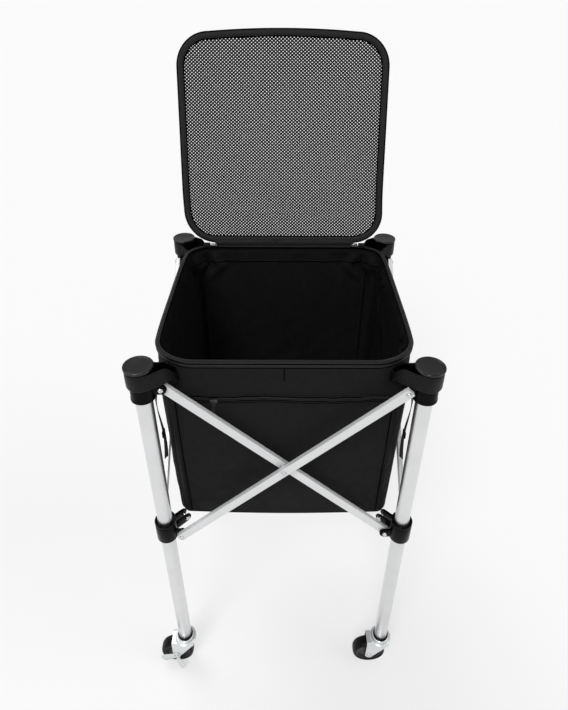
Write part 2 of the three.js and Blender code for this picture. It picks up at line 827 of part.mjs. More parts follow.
// A zip slider: a wedge-ended body with a bridge for its puller, lying along X, its back at y = 0
function zipSlider(height) {
  const outline = new THREE.Shape();
  const right = sliderLength / 2;
  const top = sliderWidth / 2;
  outline.moveTo(-right, -top / 2);
  outline.lineTo(0, -top);
  outline.lineTo(right, -top);
  outline.lineTo(right, top);
  outline.lineTo(0, top);
  outline.lineTo(-right, top / 2);
  const body = plateXZ(outline, -height / 2, 0);
  const bridge = new THREE.BoxGeometry(sliderLength / 2, height, sliderBridge).translate(0, -height / 2, 0);
  return join(body, bridge);
}

function addZips() {
  const pocketTop = capTopHeight - pocketTopDrop;
  const pocketFace = -wallHalf(pocketTop) - fit - pocketThickness;
  const slider = add('pocket_zip_slider', zipSlider(sliderHeight), finish.steel);
  slider.position.set(pocketSliderX, pocketFace - fit, pocketTop - sliderWidth / 2);
  const round = pullerWidth / 2;
  const outline = new THREE.Shape();
  outline.moveTo(-round, -pullerLength);
  outline.lineTo(round, -pullerLength);
  outline.absarc(0, 0, round, 0, Math.PI, false);
  const puller = add('pocket_zip_puller', plateXZ(outline, -pullerThickness, 0), finish.fabric);
  puller.position.set(pocketSliderX, pocketFace - fit, pocketTop - sliderWidth - fit - round);
  for (const [name, side] of [['left', -1], ['right', 1]]) {
    const lidSlider = add(`lid_zip_slider_${name}`, zipSlider(lidSliderHeight).rotateX(-Math.PI / 2), finish.steel);
    lidSlider.position.set(side * lidSliderX, lidSliderY, rimTopHeight + fit);
  }
}

for (const corner of corners) {
  const leg = new THREE.Group();
  leg.position.set(corner.x * half, corner.y * half, 0);
  part.add(leg);
  add(`leg_${corner.name}`, legTube(), finish.aluminium, leg);
  add(`top_cap_${corner.name}`, topCap(), finish.blackNylon, leg).position.z = capTopHeight;
  add(`top_bracket_${corner.name}`, topBracket(corner), finish.blackNylon, leg).position.z = capTopHeight;
  add(`slider_collar_${corner.name}`, sliderCollar(corner), finish.blackNylon, leg).position.z = lowerPivotHeight;
  add(`bag_corner_loop_${corner.name}`, cornerLoop(corner), finish.fabric, leg).position.z = capTopHeight;
  addCaster(corner);
}

for (const side of sides) {
  const frame = new THREE.Group();
  frame.rotation.z = side.turn;
  part.add(frame);
  const middle = (upperPivotHeight + lowerPivotHeight) / 2;
  const slope = side.flipped ? -barAngle : barAngle;
  const inner = add(`${side.name}_bar_inner`, bar(), finish.aluminium, frame);
  inner.position.set(0, -half + innerBarY, middle);
  inner.rotation.y = slope;
  const outer = add(`${side.name}_bar_outer`, bar(), finish.aluminium, frame);
  outer.position.set(0, -half + outerBarY, middle);
  outer.rotation.y = -slope;
  add(`${side.name}_cross_rivet`, crossRivet(), finish.steel, frame).position.set(0, -half, middle);
}

add('bag_front_wall', bagEndWall(), finish.fabric);
add('bag_rear_wall', bagEndWall(), finish.fabric).rotation.z = Math.PI;
add('bag_right_wall', bagSideWall(), finish.fabric);
add('bag_left_wall', bagSideWall(), finish.fabric).rotation.z = Math.PI;
add('bag_floor', bagFloor(), finish.fabric);
add('bag_front_pocket', bagPocket(), finish.fabric);
addLid();
addZips();

export default part;
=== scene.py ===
"""Looks of a folding ball hopper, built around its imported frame.

Everything is in metres in the frame of the part: +Z up, the floor at zero, the front at -Y. Each sub-assembly
is a class that holds its sizes, builds its meshes from numpy surfaces and dresses them.
"""

from __future__ import annotations

import json
import logging
import math
from dataclasses import dataclass, field
from enum import Enum

import bmesh
import bpy
import numpy as np
from mathutils import Euler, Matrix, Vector

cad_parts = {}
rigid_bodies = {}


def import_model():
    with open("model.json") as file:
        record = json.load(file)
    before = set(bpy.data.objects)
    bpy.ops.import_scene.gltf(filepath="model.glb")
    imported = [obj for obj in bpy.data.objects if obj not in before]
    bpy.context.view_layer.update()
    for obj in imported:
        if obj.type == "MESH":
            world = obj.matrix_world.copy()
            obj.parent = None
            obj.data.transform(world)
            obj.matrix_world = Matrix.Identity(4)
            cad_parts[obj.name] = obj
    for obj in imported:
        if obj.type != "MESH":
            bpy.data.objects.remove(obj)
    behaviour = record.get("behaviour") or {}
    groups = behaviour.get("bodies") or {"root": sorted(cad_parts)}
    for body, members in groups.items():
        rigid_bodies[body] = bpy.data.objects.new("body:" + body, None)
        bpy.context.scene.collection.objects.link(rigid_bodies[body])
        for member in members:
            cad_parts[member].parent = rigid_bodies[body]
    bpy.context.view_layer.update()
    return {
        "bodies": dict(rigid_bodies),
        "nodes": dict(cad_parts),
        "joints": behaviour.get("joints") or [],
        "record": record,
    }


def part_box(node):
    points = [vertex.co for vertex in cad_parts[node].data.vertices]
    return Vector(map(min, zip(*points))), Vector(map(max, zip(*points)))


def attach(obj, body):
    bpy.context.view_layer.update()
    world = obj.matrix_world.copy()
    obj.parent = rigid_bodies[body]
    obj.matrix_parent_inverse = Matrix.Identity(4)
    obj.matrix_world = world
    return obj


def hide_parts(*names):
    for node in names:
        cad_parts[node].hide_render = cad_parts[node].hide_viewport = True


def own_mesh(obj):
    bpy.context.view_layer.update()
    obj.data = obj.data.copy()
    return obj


LOG = logging.getLogger("hopper")
MM = 0.001


class Corner(Enum):
    """A leg of the cart: its name, and the side of the middle that it stands on along X and Y."""

    FRONT_LEFT = ("front_left", -1, -1)
    FRONT_RIGHT = ("front_right", 1, -1)
    REAR_LEFT = ("rear_left", -1, 1)
    REAR_RIGHT = ("rear_right", 1, 1)

    @property
    def label(self) -> str:
        """The corner's name in the frame's nodes and bodies."""
        return self.value[0]

    @property
    def x(self) -> int:
        """-1 on the left, 1 on the right."""
        return self.value[1]

    @property
    def y(self) -> int:
        """-1 at the front, 1 at the rear."""
        return self.value[2]


class Side(Enum):
    """A side of the cart: its name, its turn about Z from the front, and the way its inner bar slopes."""

    FRONT = ("front", 0.0, 1)
    RIGHT = ("right", math.pi / 2, 1)
    REAR = ("rear", math.pi, -1)
    LEFT = ("left", -math.pi / 2, -1)

    @property
    def label(self) -> str:
        """The side's name in the frame's nodes and bodies."""
        return self.value[0]

    @property
    def turn(self) -> float:
        """The angle about Z that carries the front side to this one."""
        return self.value[1]

    @property
    def slope(self) -> int:
        """1 where the inner bar falls to the right seen from outside, -1 where it rises."""
        return self.value[2]


# Which bar lies inside its lug, for the lug along the front or rear and the lug along the side.
INSIDE_AT_TOP = {
    Corner.FRONT_LEFT: (True, True),
    Corner.FRONT_RIGHT: (False, True),
    Corner.REAR_LEFT: (True, False),
    Corner.REAR_RIGHT: (False, False),
}
INSIDE_AT_COLLAR = {
    Corner.FRONT_LEFT: (False, False),
    Corner.FRONT_RIGHT: (True, False),
    Corner.REAR_LEFT: (False, True),
    Corner.REAR_RIGHT: (True, True),
}


@dataclass(frozen=True)
class Cart:
    """The driving sizes that the sub-assemblies share, as the frame has them."""

    half: float = 225 * MM
    cap_top: float = 893 * MM
    pivot_reach: float = 30.5 * MM
    upper_drop: float = 46 * MM
    lower_drop: float = 409 * MM
    lug_offset: float = 4 * MM
    lug_thickness: float = 5 * MM
    bar_thickness: float = 9 * MM
    bar_gap: float = 0.5 * MM
    caster_height: float = 103 * MM

    @property
    def upper(self) -> float:
        """Height of the upper pivots."""
        return self.cap_top - self.upper_drop

    @property
    def lower(self) -> float:
        """Height of the lower pivots."""
        return self.cap_top - self.lower_drop

    @property
    def outer_bar(self) -> float:
        """Y of an outer bar's middle, from the plane of the leg axes, with the outside at -Y."""
        return -self.lug_offset - self.lug_thickness / 2 - self.bar_gap - self.bar_thickness / 2

    @property
    def inner_bar(self) -> float:
        """Y of an inner bar's middle, from the plane of the leg axes."""
        return -self.lug_offset + self.lug_thickness / 2 + self.bar_gap + self.bar_thickness / 2


CART = Cart()


# Shapes in numpy


def smooth(low: float, high: float, value: np.ndarray) -> np.ndarray:
    """A step from 0 at low to 1 at high, with level ends: 3t^2 - 2t^3.

    Args:
        low: Where the step starts.
        high: Where it ends.
        value: Where it is wanted.

    Returns:
        The height of the step at each value.
    """
    share = np.clip((value - low) / (high - low), 0, 1)
    return share * share * (3 - 2 * share)


def ridge(value: np.ndarray, centre: float, width: float) -> np.ndarray:
    """A bell curve of height 1: exp(-((value - centre) / width)^2).

    Args:
        value: Where it is wanted.
        centre: Where the top is.
        width: The distance at which it has fallen to about a third.

    Returns:
        The height at each value.
    """
    return np.exp(-(((value - centre) / width) ** 2))


def ripples(across: np.ndarray, down: np.ndarray, seed: int, longest: float, count: int = 9) -> np.ndarray:
    """Soft random relief: a sum of sine waves in seeded directions, each shorter and lower than the last.

    Args:
        across: First surface coordinate, in metres.
        down: Second surface coordinate, in metres.
        seed: Picks the directions and phases.
        longest: The longest wavelength, in metres.
        count: How many waves are added.

    Returns:
        A height between about -1 and 1 at each point.
    """
    draw = np.random.default_rng(seed)
    turn = draw.uniform(0, np.pi, count)
    phase = draw.uniform(0, 2 * np.pi, count)
    length = longest * 0.78 ** np.arange(count)
    height = (length / longest) ** 0.9
    along = across[..., None] * np.cos(turn) + down[..., None] * np.sin(turn)
    waves = np.sin(2 * np.pi * along / length + phase) * height
    return waves.sum(-1) / np.sqrt(count)


def rounded(
    corners: np.ndarray, radius: float | np.ndarray, steps: int = 4, closed: bool = True
) -> np.ndarray:
    """Rounds a flat outline's corners.

    At a corner P with unit directions a and b to its neighbours, the arc is
    P + r a (1 - sin t) + r b (1 - cos t) for t from 0 to a quarter turn, which is round on a square corner.

    Args:
        corners: The outline's corners, one row each.
        radius: One radius, or one for each corner.
        steps: Stretches in each arc.
        closed: Whether the last corner joins the first; if not, the two ends stay sharp.

    Returns:
        The rounded outline, one row for each point.
    """
    corners = np.asarray(corners, float)
    to_last = np.roll(corners, 1, 0) - corners
    to_next = np.roll(corners, -1, 0) - corners
    last_length = np.linalg.norm(to_last, axis=1)
    next_length = np.linalg.norm(to_next, axis=1)
    limit = 0.499 * np.minimum(last_length, next_length)
    size = np.minimum(np.broadcast_to(radius, len(corners)), limit)
    if not closed:
        size = size * np.r_[0, np.ones(len(corners) - 2), 0]
    turn = np.linspace(0, np.pi / 2, steps + 1)
    back = (to_last / np.maximum(last_length, 1e-12)[:, None] * size[:, None])[:, None, :]
    ahead = (to_next / np.maximum(next_length, 1e-12)[:, None] * size[:, None])[:, None, :]
    from_back = (1 - np.sin(turn))[None, :, None]
    from_ahead = (1 - np.cos(turn))[None, :, None]
    arcs = corners[:, None, :] + back * from_back + ahead * from_ahead
    points = arcs.reshape(-1, corners.shape[1])
    step = np.linalg.norm(np.diff(points, axis=0), axis=1)
    kept = np.r_[True, step > 1e-7]
    return points[kept]


def rectangle(half_wide: float, half_high: float) -> np.ndarray:
    """The four corners of a rectangle about the origin, anticlockwise from the lower left."""
    wide, high = half_wide, half_high
    return np.array([[-wide, -high], [wide, -high], [wide, high], [-wide, high]])


def facing(way: list[float], path: np.ndarray) -> np.ndarray:
    """One direction, repeated for every point of a path."""
    return np.broadcast_to(way, path.shape)


def turned(profile: np.ndarray, segments: int = 48) -> np.ndarray:
    """A turned surface about Z: (r cos a, r sin a, z) for each profile point (r, z) and angle a.

    Args:
        profile: Radius and height, one row for each point.
        segments: Stretches round the axis.

    Returns:
        Points indexed by profile point and angle, with the first angle left out at the end.
    """
    angle = np.arange(segments) / segments * 2 * np.pi
    radius, height = profile[:, :1], profile[:, 1:2]
    return np.stack([radius * np.cos(angle), radius * np.sin(angle), height + 0 * angle], -1)


def swept(path: np.ndarray, section: np.ndarray, side: np.ndarray, lift: np.ndarray) -> np.ndarray:
    """A section carried along a path: path point + section x times side + section y times lift.

    Args:
        path: Points of the path, one row each.
        section: Points of the section, one row each.
        side: The section's first direction at each path point.
        lift: The section's second direction at each path point.

    Returns:
        Points indexed by path point and section point.
    """
    return (
        path[:, None, :]
        + section[None, :, :1] * side[:, None, :]
        + section[None, :, 1:2] * lift[:, None, :]
    )


def outline_normals(outline: np.ndarray) -> np.ndarray:
    """Unit normals of a closed flat outline that runs anticlockwise, pointing outwards: the turned tangent.

    Args:
        outline: The outline's points, one row each.

    Returns:
        One normal for each point.
    """
    tangent = np.roll(outline, -1, 0) - np.roll(outline, 1, 0)
    normal = np.stack([tangent[:, 1], -tangent[:, 0]], -1)
    return normal / np.maximum(np.linalg.norm(normal, axis=1), 1e-12)[:, None]


def plate(outline: np.ndarray, low: float, high: float, edge: float) -> np.ndarray:
    """A flat plate with rounded edges, its outline in X and Z and its thickness along Y.

    Each ring is the outline drawn in along its normals, by the edge radius at the faces and not at all
    between.

    Args:
        outline: X and Z of the outline, anticlockwise, one row for each point.
        low: Y of the first face.
        high: Y of the second face.
        edge: Radius of the rounded edges.

    Returns:
        Points indexed by ring and outline point.
    """
    part = 1 - math.sqrt(0.5)
    inset = edge * np.array([1, part, 0, 0, part, 1])
    depth = np.array([low, low + edge * part, low + edge, high - edge, high - edge * part, high])
    normal = outline_normals(outline)
    flat = outline[None] - inset[:, None, None] * normal[None]
    return np.stack([flat[..., 0], np.broadcast_to(depth[:, None], flat.shape[:2]), flat[..., 1]], -1)


def dome_head(radius: float, height: float) -> np.ndarray:
    """Profile of a pan-head bolt with a shallow dimple, from its seat at zero to its middle.

    Args:
        radius: Radius of the head.
        height: Height of the head.

    Returns:
        Radius and height, one row for each point.
    """
    corners = np.array([
        [0, 0],
        [radius, 0],
        [radius, height * 0.45],
        [radius * 0.72, height],
        [radius * 0.38, height],
        [radius * 0.26, height * 0.62],
        [0, height * 0.62],
    ])
    return rounded(corners, height * 0.3, 3, closed=False)


def along_y(points: np.ndarray) -> np.ndarray:
    """Turns points about Z into points about Y: (x, y, z) becomes (x, -z, y)."""
    return np.stack([points[..., 0], -points[..., 2], points[..., 1]], -1)


def swap_xy(points: np.ndarray) -> np.ndarray:
    """Mirrors points across the plane x = y."""
    return points[..., [1, 0, 2]]


def turn_z(points: np.ndarray, angle: float) -> np.ndarray:
    """Turns points about Z by an angle in radians."""
    c, s = math.cos(angle), math.sin(angle)
    x, y = points[..., 0], points[..., 1]
    return np.stack([c * x - s * y, s * x + c * y, points[..., 2]], -1)


def turn_y(points: np.ndarray, angle: float) -> np.ndarray:
    """Turns points about Y by an angle in radians."""
    c, s = math.cos(angle), math.sin(angle)
    x, z = points[..., 0], points[..., 2]
    return np.stack([c * x + s * z, points[..., 1], c * z - s * x], -1)


def turn_x(points: np.ndarray, angle: float) -> np.ndarray:
    """Turns points about X by an angle in radians."""
    c, s = math.cos(angle), math.sin(angle)
    y, z = points[..., 1], points[..., 2]
    return np.stack([points[..., 0], c * y - s * z, s * y + c * z], -1)


def round_cord(
    path: np.ndarray, side: np.ndarray, lift: np.ndarray, radius: float | np.ndarray, steps: int = 10
) -> np.ndarray:
    """A round cord along a path: path + r (cos a times side + sin a times lift).

    Args:
        path: Points of the path, one row each.
        side: The section's first direction at each point.
        lift: Its second direction at each point.
        radius: One radius, or one for each point.
        steps: Stretches round the cord.

    Returns:
        Points indexed by path point and angle.
    """
    angle = np.arange(steps) / steps * 2 * np.pi
    circle = np.stack([np.cos(angle), np.sin(angle)], -1)
    size = np.broadcast_to(radius, len(path))[:, None, None]
    return path[:, None] + size * (circle[None, :, :1] * side[:, None] + circle[None, :, 1:] * lift[:, None])


def thread(path: np.ndarray, way: np.ndarray, lift: np.ndarray) -> np.ndarray:
    """A row of stitches: a thread that stands out of the cloth by |sin(pi i / 4)| and dips into it between.

    Args:
        path: Points on the cloth, about a millimetre apart.
        way: The direction out of the cloth at each point.
        lift: A direction along the cloth, across the row.

    Returns:
        Points indexed by path point and angle.
    """
    out = (1.3 * np.abs(np.sin(np.arange(len(path)) * np.pi / 4)) - 0.75) * 0.42 * MM
    return round_cord(path + way * out[:, None], way, lift, 0.42 * MM, 6)


class Skin:
    """A mesh gathered from grids of points, with a flat cloth coordinate in metres at every face corner."""

    def __init__(self) -> None:
        """Starts with no points."""
        self._points: list[np.ndarray] = []
        self._cloth: list[np.ndarray] = []
        self._faces: list[list[int]] = []
        self._count = 0

    def grid(
        self,
        points: np.ndarray,
        wrap: bool = False,
        ring: bool = False,
        caps: bool = False,
        cloth: np.ndarray | None = None,
    ) -> Skin:
        """Adds a sheet of quads through a grid of points.

        Args:
            points: Points indexed by row and column.
            wrap: Whether the last column joins the first.
            ring: Whether the last row joins the first.
            caps: Whether the first and last rows are closed with a face each.
            cloth: Flat coordinates at the points; measured along the grid if it is left out.

        Returns:
            The skin itself.
        """
        if cloth is None:
            across = np.linalg.norm(np.diff(points, axis=1, append=points[:, :1]), axis=2)
            down = np.linalg.norm(np.diff(points, axis=0, append=points[:1]), axis=2)
            cloth = np.stack([
                np.cumsum(across, 1) - across,
                np.broadcast_to((np.cumsum(down, 0) - down).mean(1)[:, None], points.shape[:2]),
            ], -1)
        start = self._count
        rows, columns = points.shape[:2]
        if wrap:
            points = np.concatenate([points, points[:, :1]], 1)
            last = cloth[:, -1:] + (cloth[:, -1:] - cloth[:, -2:-1])
            cloth = np.concatenate([cloth, last], 1)
        if ring:
            points = np.concatenate([points, points[:1]], 0)
            last = cloth[-1:] + (cloth[-1:] - cloth[-2:-1])
            cloth = np.concatenate([cloth, last], 0)
        index = np.arange(points.shape[0] * points.shape[1]).reshape(points.shape[:2]) + start
        quads = np.stack([index[:-1, :-1], index[1:, :-1], index[1:, 1:], index[:-1, 1:]], -1).reshape(-1, 4)
        self._faces.extend(quads.tolist())
        if caps:
            self._faces.append(index[0, :columns].tolist())
            self._faces.append(index[rows - 1, :columns][::-1].tolist())
        self._points.append(points.reshape(-1, 3))
        self._cloth.append(cloth.reshape(-1, 2))
        self._count += index.size
        return self

    def closed(self, points: np.ndarray, **more: np.ndarray) -> "Skin":
        """Adds a grid that closes on itself round its section, with a cap on each end."""
        return self.grid(points, wrap=True, caps=True, **more)

    def build(self, name: str, material: bpy.types.Material, sharp: float = 38) -> bpy.types.Object:
        """Makes the object: its doubles merged, its faces pointing out and its hard edges marked.

        Args:
            name: The object's name.
            material: Its finish.
            sharp: Edges sharper than this many degrees are shaded hard.

        Returns:
            The new object, at the origin.
        """
        mesh = bpy.data.meshes.new(name)
        mesh.from_pydata(np.concatenate(self._points).tolist(), [], self._faces)
        flat = np.concatenate(self._cloth)
        corner = np.zeros(len(mesh.loops), int)
        mesh.loops.foreach_get("vertex_index", corner)
        layer = mesh.uv_layers.new(name="cloth")
        layer.data.foreach_set("uv", flat[corner].astype(np.float32).ravel())
        work = bmesh.new()
        work.from_mesh(mesh)
        bmesh.ops.remove_doubles(work, verts=work.verts, dist=1e-6)
        bmesh.ops.dissolve_degenerate(work, dist=1e-7, edges=work.edges)
        bmesh.ops.recalc_face_normals(work, faces=work.faces)
        work.to_mesh(mesh)
        work.free()
        mesh.shade_smooth()
        mesh.set_sharp_from_angle(angle=math.radians(sharp))
        mesh.materials.append(material)
        piece = bpy.data.objects.new(name, mesh)
        bpy.context.scene.collection.objects.link(piece)
        LOG.info("%s: %d faces", name, len(mesh.polygons))
        return piece


# Finishes


class GroupSketch:
    """A shader node group while it is drawn."""

    def __init__(self, name: str) -> None:
        """Starts an empty group.

        Args:
            name: The group's name.
        """
        self.tree = bpy.data.node_groups.new(name, "ShaderNodeTree")
        self.entry = self.tree.nodes.new("NodeGroupInput")
        self.exit = self.tree.nodes.new("NodeGroupOutput")

    def takes(self, name: str, kind: str = "NodeSocketFloat", value: float | None = None) -> None:
        """Adds an input.

        Args:
            name: The socket's name.
            kind: The socket's type.
            value: What it holds where nothing is linked.
        """
        socket = self.tree.interface.new_socket(name, in_out="INPUT", socket_type=kind)
        if value is not None:
            socket.default_value = value

    def gives(self, name: str, source: bpy.types.NodeSocket, kind: str = "NodeSocketFloat") -> None:
        """Adds an output and links it.

        Args:
            name: The socket's name.
            source: What feeds it.
            kind: The socket's type.
        """
        self.tree.interface.new_socket(name, in_out="OUTPUT", socket_type=kind)
        self.tree.links.new(source, self.exit.inputs[name])

    def math(self, operation: str, *values: bpy.types.NodeSocket | float) -> bpy.types.NodeSocket:
        """Adds a math node.

        Args:
            operation: What it works out.
            values: Its inputs, sockets or numbers.

        Returns:
            Its output.
        """
        node = self.tree.nodes.new("ShaderNodeMath")
        node.operation = operation
        for slot, value in zip(node.inputs, values):
            if isinstance(value, (int, float)):
                slot.default_value = value
            else:
                self.tree.links.new(value, slot)
        return node.outputs[0]

    def noise(
        self, vector: bpy.types.NodeSocket, scale: bpy.types.NodeSocket | float, detail: float
    ) -> bpy.types.NodeSocket:
        """Adds a noise texture.

        Args:
            vector: Where it is read.
            scale: How fine it is.
            detail: How many octaves it has.

        Returns:
            Its value, around a half.
        """
        node = self.tree.nodes.new("ShaderNodeTexNoise")
        node.inputs["Detail"].default_value = detail
        self.tree.links.new(vector, node.inputs["Vector"])
        if isinstance(scale, (int, float)):
            node.inputs["Scale"].default_value = scale
        else:
            self.tree.links.new(scale, node.inputs["Scale"])
        return node.outputs["Fac"]

    def stretched(self, vector: bpy.types.NodeSocket, factors: bpy.types.NodeSocket) -> bpy.types.NodeSocket:
        """Multiplies a vector by factors along its axes.

        Args:
            vector: The vector.
            factors: The factors.

        Returns:
            The stretched vector.
        """
        node = self.tree.nodes.new("ShaderNodeVectorMath")
        node.operation = "MULTIPLY"
        self.tree.links.new(vector, node.inputs[0])
        self.tree.links.new(factors, node.inputs[1])
        return node.outputs["Vector"]


class Effects:
    """The node groups that the finishes share, each built once."""

    def __init__(self) -> None:
        """Builds every group."""
        self.grain = self._grain()
        self.streaks = self._streaks()
        self.weave = self._weave()
        self.handling = self._handling()

    @staticmethod
    def _grain() -> bpy.types.NodeTree:
        """Fine even grain of a moulded or plated surface."""
        sketch = GroupSketch("fine_grain")
        sketch.takes("Vector", "NodeSocketVector")
        sketch.takes("Scale", value=900.0)
        sketch.takes("Low", value=0.3)
        sketch.takes("High", value=0.5)
        inner = sketch.entry.outputs
        fine = sketch.noise(inner["Vector"], inner["Scale"], 3)
        broad = sketch.noise(inner["Vector"], 14.0, 2)
        mixed = sketch.math("ADD", sketch.math("MULTIPLY", fine, 0.6), sketch.math("MULTIPLY", broad, 0.4))
        spread = sketch.math("SUBTRACT", inner["High"], inner["Low"])
        rough = sketch.math("MULTIPLY_ADD", mixed, spread, inner["Low"])
        sketch.gives("Height", fine)
        sketch.gives("Roughness", rough)
        sketch.gives("Mask", broad)
        return sketch.tree

    @staticmethod
    def _streaks() -> bpy.types.NodeTree:
        """Long fine lines of drawn or brushed metal, with Stretch setting the direction."""
        sketch = GroupSketch("drawn_streaks")
        sketch.takes("Vector", "NodeSocketVector")
        sketch.takes("Stretch", "NodeSocketVector")
        sketch.takes("Low", value=0.25)
        sketch.takes("High", value=0.4)
        inner = sketch.entry.outputs
        lines = sketch.noise(sketch.stretched(inner["Vector"], inner["Stretch"]), 1.0, 4)
        cloud = sketch.noise(inner["Vector"], 18.0, 2)
        mixed = sketch.math("ADD", sketch.math("MULTIPLY", lines, 0.65), sketch.math("MULTIPLY", cloud, 0.35))
        spread = sketch.math("SUBTRACT", inner["High"], inner["Low"])
        rough = sketch.math("MULTIPLY_ADD", mixed, spread, inner["Low"])
        sketch.gives("Height", lines)
        sketch.gives("Roughness", rough)
        sketch.gives("Mask", cloud)
        return sketch.tree

    @staticmethod
    def _weave() -> bpy.types.NodeTree:
        """Plain weave: warp and weft as rounded threads that pass over each other square by square."""
        sketch = GroupSketch("plain_weave")
        sketch.takes("Vector", "NodeSocketVector")
        sketch.takes("Threads", value=1300.0)
        inner = sketch.entry.outputs
        split = sketch.tree.nodes.new("ShaderNodeSeparateXYZ")
        sketch.tree.links.new(inner["Vector"], split.inputs[0])
        turn = sketch.math("MULTIPLY", inner["Threads"], math.pi)
        warp = sketch.math("SINE", sketch.math("MULTIPLY", split.outputs["X"], turn))
        weft = sketch.math("SINE", sketch.math("MULTIPLY", split.outputs["Y"], turn))
        over = sketch.math("GREATER_THAN", sketch.math("MULTIPLY", warp, weft), 0.0)
        warp_thread = sketch.math("ABSOLUTE", warp)
        weft_thread = sketch.math("ABSOLUTE", weft)
        under = sketch.math("SUBTRACT", 1.0, over)
        height = sketch.math(
            "ADD", sketch.math("MULTIPLY", warp_thread, over), sketch.math("MULTIPLY", weft_thread, under)
        )
        slubs = sketch.noise(inner["Vector"], 90.0, 3)
        sketch.gives("Height", height)
        sketch.gives("Slubs", slubs)
        return sketch.tree

    @staticmethod
    def _handling() -> bpy.types.NodeTree:
        """Faint broad marks left by hands and dust: 1 where the surface is touched most."""
        sketch = GroupSketch("handling_marks")
        sketch.takes("Vector", "NodeSocketVector")
        sketch.takes("Amount", value=0.2)
        inner = sketch.entry.outputs
        cloud = sketch.noise(inner["Vector"], 26.0, 5)
        patch = sketch.math("MULTIPLY", sketch.math("SUBTRACT", cloud, 0.45), 4.0)
        held = sketch.math("MINIMUM", sketch.math("MAXIMUM", patch, 0.0), 1.0)
        sketch.gives("Mask", sketch.math("MULTIPLY", held, inner["Amount"]))
        return sketch.tree


@dataclass(frozen=True)
class Finish:
    """A finish: its colour range and the record's material slot that it stands for."""

    name: str
    slot: str
    dark: tuple[float, float, float]
    light: tuple[float, float, float]
    low: float = 0.3
    high: float = 0.5
    metallic: float = 0.0
    bump: float = 0.00003
    specular: float = 0.5

    def material(self, effects: Effects) -> bpy.types.Material:
        """Builds the material.

        Args:
            effects: The shared node groups.

        Returns:
            The material.
        """
        material = bpy.data.materials.new(self.name)
        material.use_nodes = True
        tree = material.node_tree
        shader = tree.nodes["Principled BSDF"]
        shader.inputs["Metallic"].default_value = self.metallic
        shader.inputs["Specular IOR Level"].default_value = self.specular
        height, roughness, mask = self.pattern(tree, effects)
        marks = self.group(tree, effects.handling)
        blend = tree.nodes.new("ShaderNodeMix")
        blend.data_type = "RGBA"
        blend.inputs["A"].default_value = (*self.dark, 1)
        blend.inputs["B"].default_value = (*self.light, 1)
        tree.links.new(mask, blend.inputs["Factor"])
        tree.links.new(blend.outputs["Result"], shader.inputs["Base Color"])
        total = tree.nodes.new("ShaderNodeMath")
        total.operation = "ADD"
        tree.links.new(roughness, total.inputs[0])
        tree.links.new(marks.outputs["Mask"], total.inputs[1])
        tree.links.new(total.outputs[0], shader.inputs["Roughness"])
        bump = tree.nodes.new("ShaderNodeBump")
        bump.inputs["Distance"].default_value = self.bump
        tree.links.new(height, bump.inputs["Height"])
        tree.links.new(bump.outputs["Normal"], shader.inputs["Normal"])
        self.polish(shader, marks)
        return material

    @staticmethod
    def group(tree: bpy.types.NodeTree, group: bpy.types.NodeTree, source: str = "Object") -> bpy.types.Node:
        """Places a node group in a material and feeds it the surface's coordinates.

        Args:
            tree: The material's nodes.
            group: The group.
            source: Which coordinate it reads, Object or UV.

        Returns:
            The group's node.
        """
        node = tree.nodes.new("ShaderNodeGroup")
        node.node_tree = group
        place = tree.nodes.new("ShaderNodeTexCoord")
        tree.links.new(place.outputs[source], node.inputs["Vector"])
        return node

    def pattern(self, tree: bpy.types.NodeTree, effects: Effects) -> tuple[bpy.types.NodeSocket, ...]:
        """Builds the finish's own pattern.

        Args:
            tree: The material's nodes.
            effects: The shared node groups.

        Returns:
            Its height, its roughness and its colour mask.
        """
        node = self.group(tree, effects.grain)
        node.inputs["Low"].default_value = self.low
        node.inputs["High"].default_value = self.high
        return node.outputs["Height"], node.outputs["Roughness"], node.outputs["Mask"]

    def polish(self, shader: bpy.types.Node, marks: bpy.types.Node) -> None:
        """Sets what else the finish needs on its shader.

        Args:
            shader: The material's shader; not used here.
            marks: The handling marks' node.
        """
        marks.inputs["Amount"].default_value = 0.08


@dataclass(frozen=True)
class Moulding(Finish):
    """Moulded nylon, with a little clear gloss over a fine grain."""

    gloss: float = 0.4
    scale: float = 900.0

    def pattern(self, tree: bpy.types.NodeTree, effects: Effects) -> tuple[bpy.types.NodeSocket, ...]:
        """The fine grain at this moulding's scale."""
        found = super().pattern(tree, effects)
        found[0].node.inputs["Scale"].default_value = self.scale
        return found

    def polish(self, shader: bpy.types.Node, marks: bpy.types.Node) -> None:
        """A clear coat, and faint handling marks."""
        shader.inputs["Coat Weight"].default_value = self.gloss
        shader.inputs["Coat Roughness"].default_value = 0.12
        marks.inputs["Amount"].default_value = 0.1


@dataclass(frozen=True)
class DrawnMetal(Finish):
    """Extruded or brushed metal, with fine lines along one direction."""

    stretch: tuple[float, float, float] = (900.0, 900.0, 6.0)

    def pattern(self, tree: bpy.types.NodeTree, effects: Effects) -> tuple[bpy.types.NodeSocket, ...]:
        """The drawn streaks along this metal's direction."""
        node = self.group(tree, effects.streaks, self.source())
        node.inputs["Stretch"].default_value = self.stretch
        node.inputs["Low"].default_value = self.low
        node.inputs["High"].default_value = self.high
        return node.outputs["Height"], node.outputs["Roughness"], node.outputs["Mask"]

    @staticmethod
    def source() -> str:
        """The coordinate that the streaks follow: the piece's own flat one."""
        return "UV"

    def polish(self, shader: bpy.types.Node, marks: bpy.types.Node) -> None:
        """Faint handling marks."""
        marks.inputs["Amount"].default_value = 0.06


